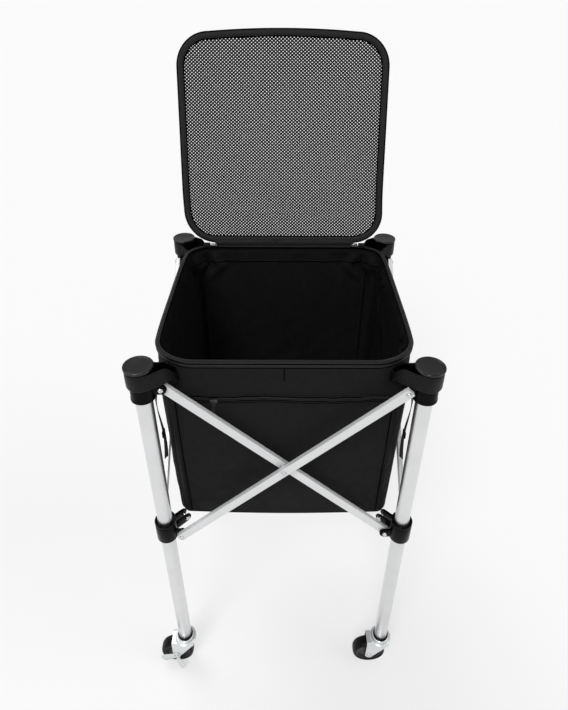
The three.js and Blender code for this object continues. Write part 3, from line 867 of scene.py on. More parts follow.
@dataclass(frozen=True)
class Cloth(Finish):
    """Woven or knitted cloth that follows the piece's flat coordinate."""

    threads: float = 1300.0
    sheen: float = 0.25

    def pattern(self, tree: bpy.types.NodeTree, effects: Effects) -> tuple[bpy.types.NodeSocket, ...]:
        """The weave for height, slubs for colour, and grain for roughness."""
        weave = self.group(tree, effects.weave, "UV")
        weave.inputs["Threads"].default_value = self.threads
        grain = self.group(tree, effects.grain)
        grain.inputs["Low"].default_value = self.low
        grain.inputs["High"].default_value = self.high
        grain.inputs["Scale"].default_value = 300.0
        return weave.outputs["Height"], grain.outputs["Roughness"], weave.outputs["Slubs"]

    def polish(self, shader: bpy.types.Node, marks: bpy.types.Node) -> None:
        """A soft sheen, and dust in the marks."""
        shader.inputs["Sheen Weight"].default_value = self.sheen
        shader.inputs["Sheen Roughness"].default_value = 0.4
        marks.inputs["Amount"].default_value = 0.05


class Palette:
    """Every finish of the cart, built once."""

    def __init__(self) -> None:
        """Builds the node groups and the materials."""
        effects = Effects()
        finishes = {
            "tube": DrawnMetal("anodised_tube", "aluminium_tube", (0.66, 0.665, 0.67), (0.80, 0.805, 0.81),
                               0.26, 0.38, 1.0, 0.000012, stretch=(700.0, 5.0, 1.0)),
            "bar": DrawnMetal("anodised_bar", "aluminium_tube", (0.60, 0.605, 0.61), (0.72, 0.725, 0.73),
                              0.30, 0.42, 0.2, 0.000012, stretch=(5.0, 900.0, 1.0)),
            "gloss": Moulding("glossy_black_nylon", "black_nylon",
                              (0.0015, 0.0015, 0.0017), (0.003, 0.003, 0.0033),
                              0.10, 0.20, 0.0, 0.000008, 0.06, gloss=0.0, scale=700.0),
            "cap": Moulding("satin_cap_nylon", "black_nylon", (0.006, 0.006, 0.0064), (0.010, 0.010, 0.0104),
                            0.12, 0.20, 0.0, 0.00001, 0.36, gloss=0.0, scale=900.0),
            "satin": Moulding("satin_black_nylon", "black_nylon",
                              (0.006, 0.006, 0.0064), (0.012, 0.012, 0.0124),
                              0.34, 0.46, 0.0, 0.00003, 0.3, gloss=0.0, scale=1400.0),
            "zinc": Finish("zinc_plate", "zinc_plate", (0.60, 0.62, 0.63), (0.78, 0.80, 0.81),
                           0.22, 0.42, 0.7, 0.00002),
            "steel": Finish("bright_steel", "bright_steel", (0.55, 0.56, 0.57), (0.72, 0.73, 0.74),
                            0.14, 0.28, 1.0, 0.00001),
            "nickel": Finish("black_nickel", "bright_steel", (0.03, 0.03, 0.032), (0.08, 0.08, 0.083),
                             0.12, 0.26, 0.9, 0.00001),
            "rubber": Moulding("wheel_rubber", "wheel_rubber", (0.002, 0.002, 0.0022), (0.005, 0.005, 0.0052),
                               0.30, 0.45, 0.0, 0.00004, 0.12, gloss=0.0, scale=1100.0),
            "cloth": Cloth("bag_cloth", "bag_fabric", (0.0085, 0.0085, 0.0088), (0.0135, 0.0135, 0.0139),
                           0.5, 0.66, 0.0, 0.00008, 0.04, threads=1300.0, sheen=0.0),
            "webbing": Cloth("bound_webbing", "bag_fabric", (0.004, 0.004, 0.0043), (0.010, 0.010, 0.0104),
                             0.42, 0.58, 0.0, 0.0002, 0.25, threads=620.0, sheen=0.05),
            "band": Cloth("satin_band", "bag_fabric", (0.0025, 0.0025, 0.0028), (0.0055, 0.0055, 0.0059),
                          0.26, 0.4, 0.0, 0.00012, 0.13, threads=900.0, sheen=0.0),
            # Near-black cloth, far darker than the bag's, laid as cords and sheets to paint the shade in
            # grooves, seams and hollows.
            "seam": Cloth("seam_shadow", "bag_fabric", (0.0004, 0.0004, 0.0004), (0.0010, 0.0010, 0.0010),
                          0.7, 0.85, 0.0, 0.00005, 0.0, threads=2000.0, sheen=0.0),
            "tape": Cloth("zip_tape", "bag_fabric", (0.006, 0.006, 0.0064), (0.012, 0.012, 0.0124),
                          0.4, 0.55, 0.0, 0.0002, 0.25, threads=800.0, sheen=0.05),
            "thread": Cloth("sewing_thread", "bag_fabric", (0.004, 0.004, 0.0044), (0.009, 0.009, 0.0094),
                            0.4, 0.55, 0.0, 0.00005, 0.25, threads=4000.0, sheen=0.0),
            "net": Cloth("knitted_net", "lid_netting", (0.003, 0.003, 0.0033), (0.007, 0.007, 0.0073),
                         0.45, 0.6, 0.0, 0.00008, 0.15, threads=2400.0, sheen=0.0),
        }
        self._slots = {key: finish.slot for key, finish in finishes.items()}
        self._materials = {key: finish.material(effects) for key, finish in finishes.items()}

    def __getitem__(self, key: str) -> bpy.types.Material:
        """The material under a short name."""
        return self._materials[key]

    def place(
        self, skin: Skin, name: str, key: str, body: str, *nodes: str, sharp: float = 38
    ) -> bpy.types.Object:
        """Builds a skin as a piece, parents it to the body that it rides on and hides the nodes that it
        stands for.

        Args:
            skin: The gathered mesh.
            name: The piece's name.
            key: The finish's short name.
            body: The body that it rides on.
            nodes: The nodes that it stands for.
            sharp: Edges sharper than this many degrees are shaded hard.

        Returns:
            The piece.
        """
        piece = skin.build(name, self._materials[key], sharp)
        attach(piece, body)
        if nodes:
            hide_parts(*nodes)
        return piece


# Floor, light and camera


@dataclass
class Studio:
    """A pale floor under soft light, seen from where the photograph was taken."""

    camera_place: tuple[float, float, float] = (-2.3 * MM, -873.1 * MM, 1421.4 * MM)
    pitch_down: float = math.radians(31.889)
    yaw_right: float = math.radians(0.112)
    roll: float = math.radians(0.25)
    focal_pixels: float = 540.37
    image_size: tuple[int, int] = (568, 710)
    principal_row: float = 296.03
    sensor: float = 36.0
    floor_half: float = 60.0
    floor_level: float = -0.4 * MM
    floor_shade: float = 0.35
    floor_glow: float = 0.545
    horizon: float = 0.92
    overhead: float = 0.42
    horizon_height: float = 0.4
    nearest_seen: float = 0.05
    light_distance: float = 3
    lights: tuple[tuple[str, tuple[float, float, float], float, float], ...] = (
        ("key_light", (-0.30, -0.75, 1.0), 24, 1.5),
        ("side_light", (0.9, -0.2, 0.8), 30, 0.5),
        ("back_light", (-0.35, 0.45, 1.0), 30, 0.95),
    )

    def build(self) -> None:
        """Makes the camera, the floor and the lights."""
        self._camera()
        self._floor()
        self._lights()

    def _camera(self) -> None:
        """The camera: its lens from the focal length in pixels, its shift from the principal row."""
        data = bpy.data.cameras.new("camera")
        data.sensor_fit = "VERTICAL"
        data.sensor_height = self.sensor
        data.lens = self.focal_pixels / self.image_size[1] * self.sensor
        data.shift_y = (self.principal_row - self.image_size[1] / 2) / self.image_size[1]
        data.clip_start = self.nearest_seen
        camera = bpy.data.objects.new("camera", data)
        camera.location = self.camera_place
        turn = Euler((math.pi / 2 - self.pitch_down, 0, -self.yaw_right), "XYZ").to_matrix()
        tilt = Euler((0, 0, self.roll), "XYZ").to_matrix()
        camera.rotation_euler = (turn @ tilt).to_euler()
        bpy.context.scene.collection.objects.link(camera)
        bpy.context.scene.camera = camera

    def _floor(self) -> None:
        """A wide flat floor that glows a little, as a lit sweep does, so that shadows on it stay faint."""
        reach = self.floor_half
        mesh = bpy.data.meshes.new("studio_floor")
        corners = [(-reach, -reach), (reach, -reach), (reach, reach), (-reach, reach)]
        mesh.from_pydata([(x, y, self.floor_level) for x, y in corners], [], [(0, 1, 2, 3)])
        material = bpy.data.materials.new("studio_floor")
        material.use_nodes = True
        shader = material.node_tree.nodes["Principled BSDF"]
        settings = {
            "Base Color": (self.floor_shade,) * 3 + (1,),
            "Roughness": 1.0,
            "Specular IOR Level": 0.0,
            "Emission Color": (1, 1, 1, 1),
            "Emission Strength": self.floor_glow,
        }
        for name, value in settings.items():
            shader.inputs[name].default_value = value
        mesh.materials.append(material)
        floor = bpy.data.objects.new("studio_floor", mesh)
        bpy.context.scene.collection.objects.link(floor)

    def _lights(self) -> None:
        """A surround as pale as the floor at its horizon and darker overhead, and three distant lights."""
        world = bpy.data.worlds.new("studio")
        bpy.context.scene.world = world
        world.use_nodes = True
        tree = world.node_tree
        place = tree.nodes.new("ShaderNodeTexCoord")
        split = tree.nodes.new("ShaderNodeSeparateXYZ")
        tree.links.new(place.outputs["Generated"], split.inputs[0])
        ramp = tree.nodes.new("ShaderNodeMapRange")
        ramp.interpolation_type = "SMOOTHSTEP"
        ends = {
            "From Min": 0.0,
            "From Max": self.horizon_height,
            "To Min": self.horizon,
            "To Max": self.overhead,
        }
        for name, value in ends.items():
            ramp.inputs[name].default_value = value
        tree.links.new(split.outputs["Z"], ramp.inputs["Value"])
        background = tree.nodes["Background"]
        tree.links.new(ramp.outputs["Result"], background.inputs["Strength"])
        background.inputs["Color"].default_value = (1, 1, 1, 1)
        for light in self.lights:
            self._distant(*light)
        bpy.context.scene.view_settings.view_transform = "Standard"

    def _distant(self, name: str, way: tuple[float, float, float], spread: float, power: float) -> None:
        """A distant light with a broad face, which lights the whole floor evenly.

        Args:
            name: The light's name.
            way: The direction towards it.
            spread: How wide its face looks, in degrees.
            power: Its strength in watts for each square metre.
        """
        data = bpy.data.lights.new(name, "SUN")
        data.energy = power
        data.angle = math.radians(spread)
        light = bpy.data.objects.new(name, data)
        light.rotation_euler = Vector(way).to_track_quat("Z", "Y").to_euler()
        light.location = Vector(way) * self.light_distance
        bpy.context.scene.collection.objects.link(light)


# Legs, caps, brackets and collars


def to_corner(points: np.ndarray, corner: Corner, height: float) -> np.ndarray:
    """Mirrors and moves points made about a leg, with the inside of the cart at +X and +Y, to a corner.

    Args:
        points: The points about the leg.
        corner: The corner.
        height: How far they are raised.

    Returns:
        The placed points.
    """
    scale = np.array([-corner.x, -corner.y, 1.0])
    return points * scale + np.array([corner.x * CART.half, corner.y * CART.half, height])


@dataclass
class Legs:
    """The four aluminium tubes and their black caps."""

    radius: float = 14 * MM
    bore: float = 12.5 * MM
    edge: float = 0.5 * MM
    cap_radius: float = 24 * MM
    cap_thickness: float = 4 * MM
    cap_crown: float = 1.6 * MM
    cap_dish: float = 0.5 * MM
    spigot: float = 14 * MM
    gap: float = 0.3 * MM

    def build(self, palette: Palette) -> None:
        """Makes a tube and a cap at each corner.

        Args:
            palette: The finishes.
        """
        for corner in Corner:
            body = f"frame_{corner.label}"
            tube = Skin().grid(to_corner(self._tube(), corner, 0), wrap=True, ring=True)
            palette.place(tube, f"tube_{corner.label}", "tube", body, f"leg_{corner.label}")
            cap = Skin().grid(to_corner(self._cap(), corner, CART.cap_top), wrap=True)
            palette.place(cap, f"cap_{corner.label}", "cap", body, f"top_cap_{corner.label}")

    def _tube(self) -> np.ndarray:
        """A tube turned from a closed rectangular section with eased edges."""
        low, high = CART.caster_height, CART.cap_top - self.cap_thickness - self.gap
        corners = np.array([[self.radius, low], [self.radius, high], [self.bore, high], [self.bore, low]])
        return turned(rounded(corners, self.edge, 3), 64)

    def _cap(self) -> np.ndarray:
        """A disc with a rounded rim and a slightly dished top, over a spigot that plugs the tube."""
        rim, plug, thick = self.cap_radius, self.bore - self.gap, self.cap_thickness
        dish = rim - 2.4 * self.cap_crown
        corners = np.array([
            [0, -thick - self.spigot],
            [plug, -thick - self.spigot],
            [plug, -thick],
            [rim, -thick],
            [rim, 0],
            [dish, 0],
            [dish - self.cap_dish, -self.cap_dish],
            [0, -self.cap_dish],
        ])
        radius = np.array([0, 1, 0.2, 0.8, 1.6, 0.8, 0.8, 0]) * MM
        return turned(rounded(corners, radius, 5, closed=False), 64)


@dataclass
class Lugs:
    """The plates that carry the crossed bars, and their bolts."""

    radius: float = 9.5 * MM
    edge: float = 0.9 * MM
    root: float = 12 * MM
    boss_radius: float = 8 * MM
    boss_height: float = 0.8 * MM
    bolt_radius: float = 3 * MM
    head_radius: float = 4.5 * MM
    head_height: float = 2.5 * MM
    nut_radius: float = 5 * MM
    nut_height: float = 3.2 * MM
    gap: float = 0.3 * MM

    def plates(self, inside: tuple[bool, bool]) -> list[np.ndarray]:
        """The two lugs about a leg at pivot height, with their bosses.

        Args:
            inside: Whether the bar lies inside the lug, for the lug along X and the lug along Y.

        Returns:
            Grids that wrap and are closed at their ends.
        """
        face_out, face_in = self._faces()
        shape = np.array([
            [self.root, -self.radius],
            [CART.pivot_reach + self.radius, -self.radius],
            [CART.pivot_reach + self.radius, self.radius],
            [self.root, self.radius],
        ])
        outline = rounded(shape, np.array([0, self.radius, self.radius, 0]), 14)
        found = []
        for turned_over, lies_inside in ((False, inside[0]), (True, inside[1])):
            boss_face = face_out if lies_inside else face_in
            way = -1 if lies_inside else 1
            boss = self._disc(self.boss_radius, boss_face - way * MM, boss_face + way * self.boss_height)
            grids = [plate(outline, face_out, face_in, self.edge), boss]
            found.extend(swap_xy(grid) if turned_over else grid for grid in grids)
        return found

    def bolts(self, inside: tuple[bool, bool]) -> list[np.ndarray]:
        """The two bolts with their heads outside and nuts inside.

        Args:
            inside: Whether the bar lies inside the lug, for the lug along X and the lug along Y.

        Returns:
            Grids that wrap and are closed at their ends.
        """
        face_out, face_in = self._faces()
        reach = CART.bar_gap + CART.bar_thickness + self.gap
        found = []
        for turned_over, lies_inside in ((False, inside[0]), (True, inside[1])):
            head = face_out - (self.boss_height if lies_inside else reach)
            nut = face_in + (reach if lies_inside else self.boss_height)
            grids = [
                self._head(head),
                self._disc(self.bolt_radius, head - 0.2 * MM, nut + 0.2 * MM),
                self._nut(nut),
            ]
            found.extend(swap_xy(grid) if turned_over else grid for grid in grids)
        return found

    def _faces(self) -> tuple[float, float]:
        """Y of a lug's outer and inner faces."""
        half = CART.lug_thickness / 2
        return -CART.lug_offset - half, -CART.lug_offset + half

    def _at_pivot(self, points: np.ndarray) -> np.ndarray:
        """Moves points from the leg's axis to the pivot's."""
        return points + np.array([CART.pivot_reach, 0, 0])

    def _disc(self, radius: float, start: float, end: float) -> np.ndarray:
        """A disc along Y with eased edges, turned from half its section."""
        low, high = min(start, end), max(start, end)
        corners = np.array([[0, low], [radius, low], [radius, high], [0, high]])
        profile = rounded(corners, 0.35 * MM, 3, closed=False)
        return self._at_pivot(along_y(turned(profile * [1, -1], 36)))

    def _head(self, seat: float) -> np.ndarray:
        """A pan head that stands out towards -Y from its seat."""
        profile = dome_head(self.head_radius, self.head_height)
        return self._at_pivot(along_y(turned(profile, 32))) + np.array([0, seat, 0])

    def _nut(self, seat: float) -> np.ndarray:
        """A hexagonal nut towards +Y: a turned profile whose radius follows a hexagon's edge."""
        corners = np.array([[0, 0], [1, 0], [1, 0.8], [0.86, 1], [0.5, 1], [0.44, 1.12], [0, 1.12]])
        profile = corners * [self.nut_radius, self.nut_height]
        angle = np.arange(36) / 36 * 2 * np.pi
        flat = np.cos(np.pi / 6) / np.cos((angle % (np.pi / 3)) - np.pi / 6)
        wide = turned(profile, 36)
        share = np.array([0, 1, 1, 0.2, 0, 0, 0])[:, None]
        factor = 1 + (flat[None, :] - 1) * share
        wide[..., 0] *= factor
        wide[..., 1] *= factor
        return self._at_pivot(along_y(wide * [1, 1, -1])) + np.array([0, seat, 0])


@dataclass
class TopBrackets:
    """The glossy sleeves under the caps, with the lugs for the upper ends of the bars."""

    radius: float = 20 * MM
    bore: float = 14.3 * MM
    drop: float = 66 * MM
    lip: float = 0.8 * MM
    lip_height: float = 5 * MM
    edge: float = 1.2 * MM
    top_gap: float = 4.3 * MM
    lugs: Lugs = field(default_factory=Lugs)

    def build(self, palette: Palette) -> None:
        """Makes a bracket and its bolts at each corner.

        Args:
            palette: The finishes.
        """
        for corner in Corner:
            body = f"frame_{corner.label}"
            skin = Skin().grid(to_corner(self._sleeve(), corner, CART.cap_top), wrap=True, ring=True)
            for grid in self.lugs.plates(INSIDE_AT_TOP[corner]):
                skin.closed(to_corner(grid, corner, CART.upper))
            palette.place(skin, f"bracket_{corner.label}", "gloss", body, f"top_bracket_{corner.label}")
            bolts = Skin()
            for grid in self.lugs.bolts(INSIDE_AT_TOP[corner]):
                bolts.grid(to_corner(grid, corner, CART.upper), wrap=True)
            palette.place(bolts, f"bracket_bolts_{corner.label}", "steel", body)

    def _sleeve(self) -> np.ndarray:
        """A sleeve turned from a closed section with a narrow lip at its foot."""
        foot, lip_top = -self.drop, -self.drop + self.lip_height
        narrow = self.radius - self.lip
        corners = np.array([
            [self.bore, foot],
            [self.radius, foot],
            [self.radius, lip_top],
            [narrow, lip_top + self.lip],
            [narrow, -self.top_gap],
            [self.bore, -self.top_gap],
        ])
        return turned(rounded(corners, self.edge, 4), 64)


@dataclass
class SliderCollars:
    """The collars that slide on the legs, with lugs for the lower ends of the bars and a diagonal clevis."""

    radius: float = 20 * MM
    bore: float = 14.5 * MM
    above: float = 34 * MM
    below: float = 13 * MM
    mouth: float = 2.5 * MM
    mouth_depth: float = 5 * MM
    groove: float = 0.7 * MM
    edge: float = 1.2 * MM
    clevis_reach: float = 42.5 * MM
    clevis_radius: float = 9 * MM
    clevis_plate: float = 3.2 * MM
    clevis_gap: float = 12 * MM
    clevis_rise: float = 5 * MM
    clevis_shoulder: float = 12 * MM
    clevis_root: float = 15 * MM
    lugs: Lugs = field(default_factory=Lugs)

    def build(self, palette: Palette) -> None:
        """Makes a collar, its clevis and its bolts at each corner.

        Args:
            palette: The finishes.
        """
        for corner in Corner:
            body = f"collar_{corner.label}"
            skin = Skin().grid(to_corner(self._sleeve(), corner, CART.lower), wrap=True, ring=True)
            for grid in [*self.lugs.plates(INSIDE_AT_COLLAR[corner]), *self._clevis()]:
                skin.closed(to_corner(grid, corner, CART.lower))
            palette.place(skin, f"collar_{corner.label}", "gloss", body, f"slider_collar_{corner.label}")
            bolts = Skin()
            for grid in [*self.lugs.bolts(INSIDE_AT_COLLAR[corner]), *self._clevis_pin()]:
                bolts.grid(to_corner(grid, corner, CART.lower), wrap=True)
            palette.place(bolts, f"collar_bolts_{corner.label}", "steel", body)

    def _sleeve(self) -> np.ndarray:
        """A sleeve turned from a closed section, with a wide mouth at its top and a groove under its rim."""
        rim, groove = self.above - 6 * MM, self.radius - self.groove
        corners = np.array([
            [self.bore, -self.below],
            [self.radius, -self.below],
            [self.radius, rim - 2 * MM],
            [groove, rim - 1.2 * MM],
            [groove, rim],
            [self.radius, rim + 0.8 * MM],
            [self.radius, self.above],
            [self.bore + self.mouth, self.above],
            [self.bore + self.mouth * 0.8, self.above - self.mouth_depth],
            [self.bore, self.above - self.mouth_depth],
        ])
        radius = np.array([0.6, 1.2, 0.4, 0.3, 0.3, 0.4, 1.0, 0.8, 0.5, 0.5]) * MM
        return turned(rounded(corners, radius, 4), 64)

    def _clevis(self) -> list[np.ndarray]:
        """The two cheeks of the clevis, turned to point at the middle of the cart."""
        low, high = self.clevis_rise - self.clevis_radius, self.clevis_rise + self.clevis_radius
        tip = self.clevis_reach + self.clevis_radius
        shape = np.array([
            [self.clevis_root, low],
            [tip, low],
            [tip, high],
            [self.clevis_root, self.clevis_rise + self.clevis_shoulder],
        ])
        outline = rounded(shape, np.array([0, self.clevis_radius, self.clevis_radius, 0]), 14)
        inner = self.clevis_gap / 2
        outer = inner + self.clevis_plate
        cheeks = [plate(outline, -outer, -inner, 0.7 * MM), plate(outline, inner, outer, 0.7 * MM)]
        return [turn_z(cheek, math.pi / 4) for cheek in cheeks]

    def _clevis_pin(self) -> list[np.ndarray]:
        """The pin through the cheeks, with a head at each end."""
        outer = self.clevis_gap / 2 + self.clevis_plate
        place = np.array([self.clevis_reach, 0, self.clevis_rise])
        shank = np.array([[0, -outer], [3 * MM, -outer], [3 * MM, outer], [0, outer]])
        shank = rounded(shank, 0.2 * MM, 2, False)
        head = along_y(turned(dome_head(self.lugs.head_radius, self.lugs.head_height), 32))
        near = head + np.array([0, -outer, 0])
        far = head * [1, -1, 1] + np.array([0, outer, 0])
        return [turn_z(grid + place, math.pi / 4) for grid in (along_y(turned(shank, 24)), near, far)]


@dataclass
class CrossedBars:
    """The rectangular tubes that cross on each side, with the rivet that joins each pair."""

    height: float = 16 * MM
    wall: float = 1.3 * MM
    overhang: float = 6.5 * MM
    end_radius: float = 3 * MM
    edge: float = 1.0 * MM
    rivet_radius: float = 5 * MM
    rivet_height: float = 2 * MM
    spacer_radius: float = 7 * MM
    shank: float = 3 * MM
    gap: float = 0.3 * MM

    def build(self, palette: Palette) -> None:
        """Makes the two bars and the rivet of each side.

        Args:
            palette: The finishes.
        """
        span = 2 * (CART.half - CART.pivot_reach)
        rise = CART.upper - CART.lower
        length = math.hypot(span, rise)
        angle = math.atan2(rise, span)
        for side in Side:
            for label, depth, slope in (("inner", CART.inner_bar, 1), ("outer", CART.outer_bar, -1)):
                points = turn_y(self._bar(length), slope * side.slope * angle)
                skin = Skin().grid(self._placed(points, side, depth), wrap=True, ring=True)
                body = f"{side.label}_{label}_bar"
                palette.place(skin, f"{side.label}_{label}_tube", "bar", body, f"{side.label}_bar_{label}")
            rivet = Skin()
            for grid in self._rivet():
                rivet.grid(self._placed(grid, side, 0), wrap=True)
            palette.place(rivet, f"{side.label}_rivet", "steel", f"{side.label}_inner_bar",
                          f"{side.label}_cross_rivet")

    @staticmethod
    def _placed(points: np.ndarray, side: Side, depth: float) -> np.ndarray:
        """Moves points to the front side's plane and turns them to their side."""
        middle = (CART.upper + CART.lower) / 2
        return turn_z(points + np.array([0, depth - CART.half, middle]), side.turn)

    def _bar(self, length: float) -> np.ndarray:
        """A rectangular tube along X, its ends rounded in side view.

        The section is a rounded rectangle, drawn once outside and once inside. Each end stops where a
        corner of the end radius would: x falls short by R - sqrt(R^2 - d^2), with d the height past the
        corner's centre.
        """
        outer = self._section(0)
        inner = self._section(self.wall)
        half = length / 2 + self.overhang
        stations = np.array([-1.0, -0.98, -0.5, 0.5, 0.98, 1.0])
        rings = [self._ring(outer, share * half, half) for share in stations]
        rings += [self._ring(inner, share * half, half) for share in stations[::-1]]
        return np.stack(rings)

    def _section(self, inset: float) -> np.ndarray:
        """The tube's section in Y and Z, drawn in by an inset."""
        y, z = CART.bar_thickness / 2 - inset, self.height / 2 - inset
        corners = rectangle(y, z)
        return rounded(corners, max(self.edge - inset / 2, 0.4 * MM), 4)

    def _ring(self, section: np.ndarray, x: float, half: float) -> np.ndarray:
        """A section placed at x, cut back where the rounded end needs it."""
        past = np.maximum(np.abs(section[:, 1]) - (self.height / 2 - self.end_radius), 0)
        short = self.end_radius - np.sqrt(np.maximum(self.end_radius**2 - past**2, 0))
        limit = half - short
        return np.stack([np.clip(x, -limit, limit), section[:, 0], section[:, 1]], -1)

    def _rivet(self) -> list[np.ndarray]:
        """Both heads, the shank and the spacer between the bars."""
        half = CART.bar_thickness / 2
        out_face = CART.outer_bar - half - self.gap
        in_face = CART.inner_bar + half + self.gap
        head = along_y(turned(dome_head(self.rivet_radius, self.rivet_height), 32))
        shank = np.array([[0, out_face], [self.shank, out_face], [self.shank, in_face], [0, in_face]])
        low, high = CART.outer_bar + half + self.gap, CART.inner_bar - half - self.gap
        spacer = np.array([[0, low], [self.spacer_radius, low], [self.spacer_radius, high], [0, high]])
        return [
            head + np.array([0, out_face, 0]),
            head * [1, -1, 1] + np.array([0, in_face, 0]),
            along_y(turned(rounded(shank * [1, -1], 0.1 * MM, 2, False), 24)),
            along_y(turned(rounded(spacer * [1, -1], 0.4 * MM, 3, False), 32)),
        ]


@dataclass
class Casters:
    """Swivel casters with pressed forks, trailing to the left in front and to the right behind."""

    wheel_radius: float = 37.5 * MM
    wheel_half: float = 12.5 * MM
    core_radius: float = 28.5 * MM
    hub_radius: float = 11 * MM
    hub_half: float = 14 * MM
    web_half: float = 7.5 * MM
    bore: float = 4.3 * MM
    trail: float = 23 * MM
    fork_half: float = 17 * MM
    sheet: float = 2 * MM
    bend: float = 5 * MM
    fork_top: float = 86.5 * MM
    crown_front: float = 19 * MM
    crown_back: float = 31 * MM
    lobe: float = 9 * MM
    race: float = 24 * MM
    neck: float = 17 * MM
    race_height: float = 12 * MM
    flange: float = 16.8 * MM
    stem: float = 5 * MM
    bolt: float = 6.5 * MM
    leaf_drop: float = 8 * MM
    leaf_reach: float = 25 * MM
    leaf_radius: float = 12 * MM
    ring_radius: float = 9 * MM

    def build(self, palette: Palette) -> None:
        """Makes the caster under each leg, with a brake pedal at two of them.

        Args:
            palette: The finishes.
        """
        for corner in Corner:
            self._socket(palette, corner)
            self._fork(palette, corner)
            self._wheel(palette, corner)
            if corner.x == corner.y:
                self._brake(palette, corner)

    def _placed(self, points: np.ndarray, corner: Corner) -> np.ndarray:
        """Moves points from the swivel axis on the floor to a corner, turned about at the rear."""
        turn = math.pi if corner.y > 0 else 0.0
        return turn_z(points, turn) + np.array([corner.x * CART.half, corner.y * CART.half, 0])

    def _socket(self, palette: Palette, corner: Corner) -> None:
        """The nylon plug in the tube, and the steel stem under it."""
        low = self.fork_top + self.race_height + 0.3 * MM
        plug = 12.2 * MM
        corners = np.array([
            [0, low],
            [self.flange, low],
            [self.flange, CART.caster_height - 0.3 * MM],
            [plug, CART.caster_height - 0.3 * MM],
            [plug, CART.caster_height + 25 * MM],
            [0, CART.caster_height + 25 * MM],
        ])
        skin = Skin().grid(self._placed(turned(rounded(corners, 0.9 * MM, 4, False), 48), corner), wrap=True)
        body = f"frame_{corner.label}"
        palette.place(skin, f"socket_{corner.label}", "gloss", body, f"caster_socket_{corner.label}")
        foot = self.fork_top - 2.8 * MM
        corners = np.array([[0, foot - 2.5 * MM], [8 * MM, foot - 2.5 * MM],
                            [8 * MM, foot], [self.stem, foot],
                            [self.stem, low], [0, low]])
        stem = Skin().grid(self._placed(turned(rounded(corners, 0.4 * MM, 3, False), 32), corner), wrap=True)
        palette.place(stem, f"stem_{corner.label}", "steel", body)

    def _fork(self, palette: Palette, corner: Corner) -> None:
        """The pressed fork, its ball race and the wheel's bolt."""
        skin = Skin()
        skin.closed(self._placed(self._pressing(), corner))
        skin.grid(self._placed(self._race(), corner), wrap=True, ring=True)
        fork = f"fork_{corner.label}"
        palette.place(skin, fork, "zinc", fork, f"caster_{fork}")
        bolt = Skin()
        room = self.sheet + 0.6 * MM if corner.x == corner.y else 0.0
        head = along_y(turned(dome_head(self.bolt, 2.6 * MM), 32))
        middle = np.array([-self.trail, 0, self.wheel_radius])
        seat = np.array([0, self.fork_half, 0])
        shank = np.array([[0, -1], [4 * MM, -1], [4 * MM, 1], [0, 1]]) * [1, self.fork_half + room]
        for grid in (head - seat - [0, room, 0], head * [1, -1, 1] + seat, along_y(turned(shank, 24))):
            bolt.grid(self._placed(grid + middle, corner), wrap=True)
        palette.place(bolt, f"axle_{corner.label}", "steel", f"fork_{corner.label}")

    def _pressing(self) -> np.ndarray:
        """A bent sheet: a U section carried from one cheek's foot over the crown to the other's.

        At each point of the U the sheet runs from the back edge to the front edge. Both edges are
        straight above
        the axle and follow the lobe round it below: x = centre + or - sqrt(r^2 - (z - axle)^2).
        """
        axle, foot = self.wheel_radius, self.wheel_radius - self.lobe
        rows = foot + (self.fork_top - self.bend - foot) * (1 - np.cos(np.linspace(0, np.pi / 2, 26)))
        turn = np.linspace(0, np.pi / 2, 7)[1:]
        outer_y = np.r_[np.full(26, -self.fork_half), -self.fork_half + self.bend * (1 - np.cos(turn))]
        outer_z = np.r_[rows, self.fork_top - self.bend + self.bend * np.sin(turn)]
        small = self.bend - self.sheet
        bent = -self.fork_half + self.bend - small * np.cos(turn)
        inner_y = np.r_[np.full(26, -self.fork_half + self.sheet), bent]
        inner_z = np.r_[rows, self.fork_top - self.bend + small * np.sin(turn)]
        outer = np.stack([np.r_[outer_y, -outer_y[::-1]], np.r_[outer_z, outer_z[::-1]]], -1)
        inner = np.stack([np.r_[inner_y, -inner_y[::-1]], np.r_[inner_z, inner_z[::-1]]], -1)
        level = outer[:, 1]
        reach = np.sqrt(np.maximum(self.lobe**2 - np.minimum(level - axle, 0) ** 2, 0))
        top_share = np.clip((level - axle) / (self.fork_top - axle), 0, 1)
        back = -self.trail - reach + top_share * (self.lobe + self.trail - self.crown_back)
        turn_off = axle - 4.1 * MM
        low_reach = np.sqrt(np.maximum(self.lobe**2 - (level - axle) ** 2, 0))
        rise = np.clip((level - turn_off) / (self.fork_top - 5 * MM - turn_off), 0, 1)
        side = -self.trail + 8.02 * MM
        front = np.where(level < turn_off, -self.trail + low_reach, side + rise * (self.crown_front - side))
        share = np.linspace(0, 1, 12)
        x = back[:, None] + (front - back)[:, None] * share[None]
        over = np.stack([x, outer[:, :1] + 0 * x, outer[:, 1:] + 0 * x], -1)
        under = np.stack([x, inner[:, :1] + 0 * x, inner[:, 1:] + 0 * x], -1)
        return np.concatenate([over, under[:, ::-1]], 1)

    def _race(self) -> np.ndarray:
        """The two pressed cups of the ball race, turned from one closed section."""
        z = self.fork_top
        corners = np.array([
            [self.stem + 0.4 * MM, z - 1 * MM],
            [self.race - 1.5 * MM, z - 1 * MM],
            [self.race, z + 1.2 * MM],
            [self.race, z + 4.6 * MM],
            [self.race - 1.8 * MM, z + 5.2 * MM],
            [self.race - 1.8 * MM, z + 6.0 * MM],
            [self.race - 0.8 * MM, z + 6.4 * MM],
            [self.race - 1.6 * MM, z + 8.4 * MM],
            [self.neck + 0.6 * MM, z + 9.2 * MM],
            [self.neck, z + self.race_height],
            [self.stem + 0.4 * MM, z + self.race_height],
        ])
        return turned(rounded(corners, 0.8 * MM, 3), 56)

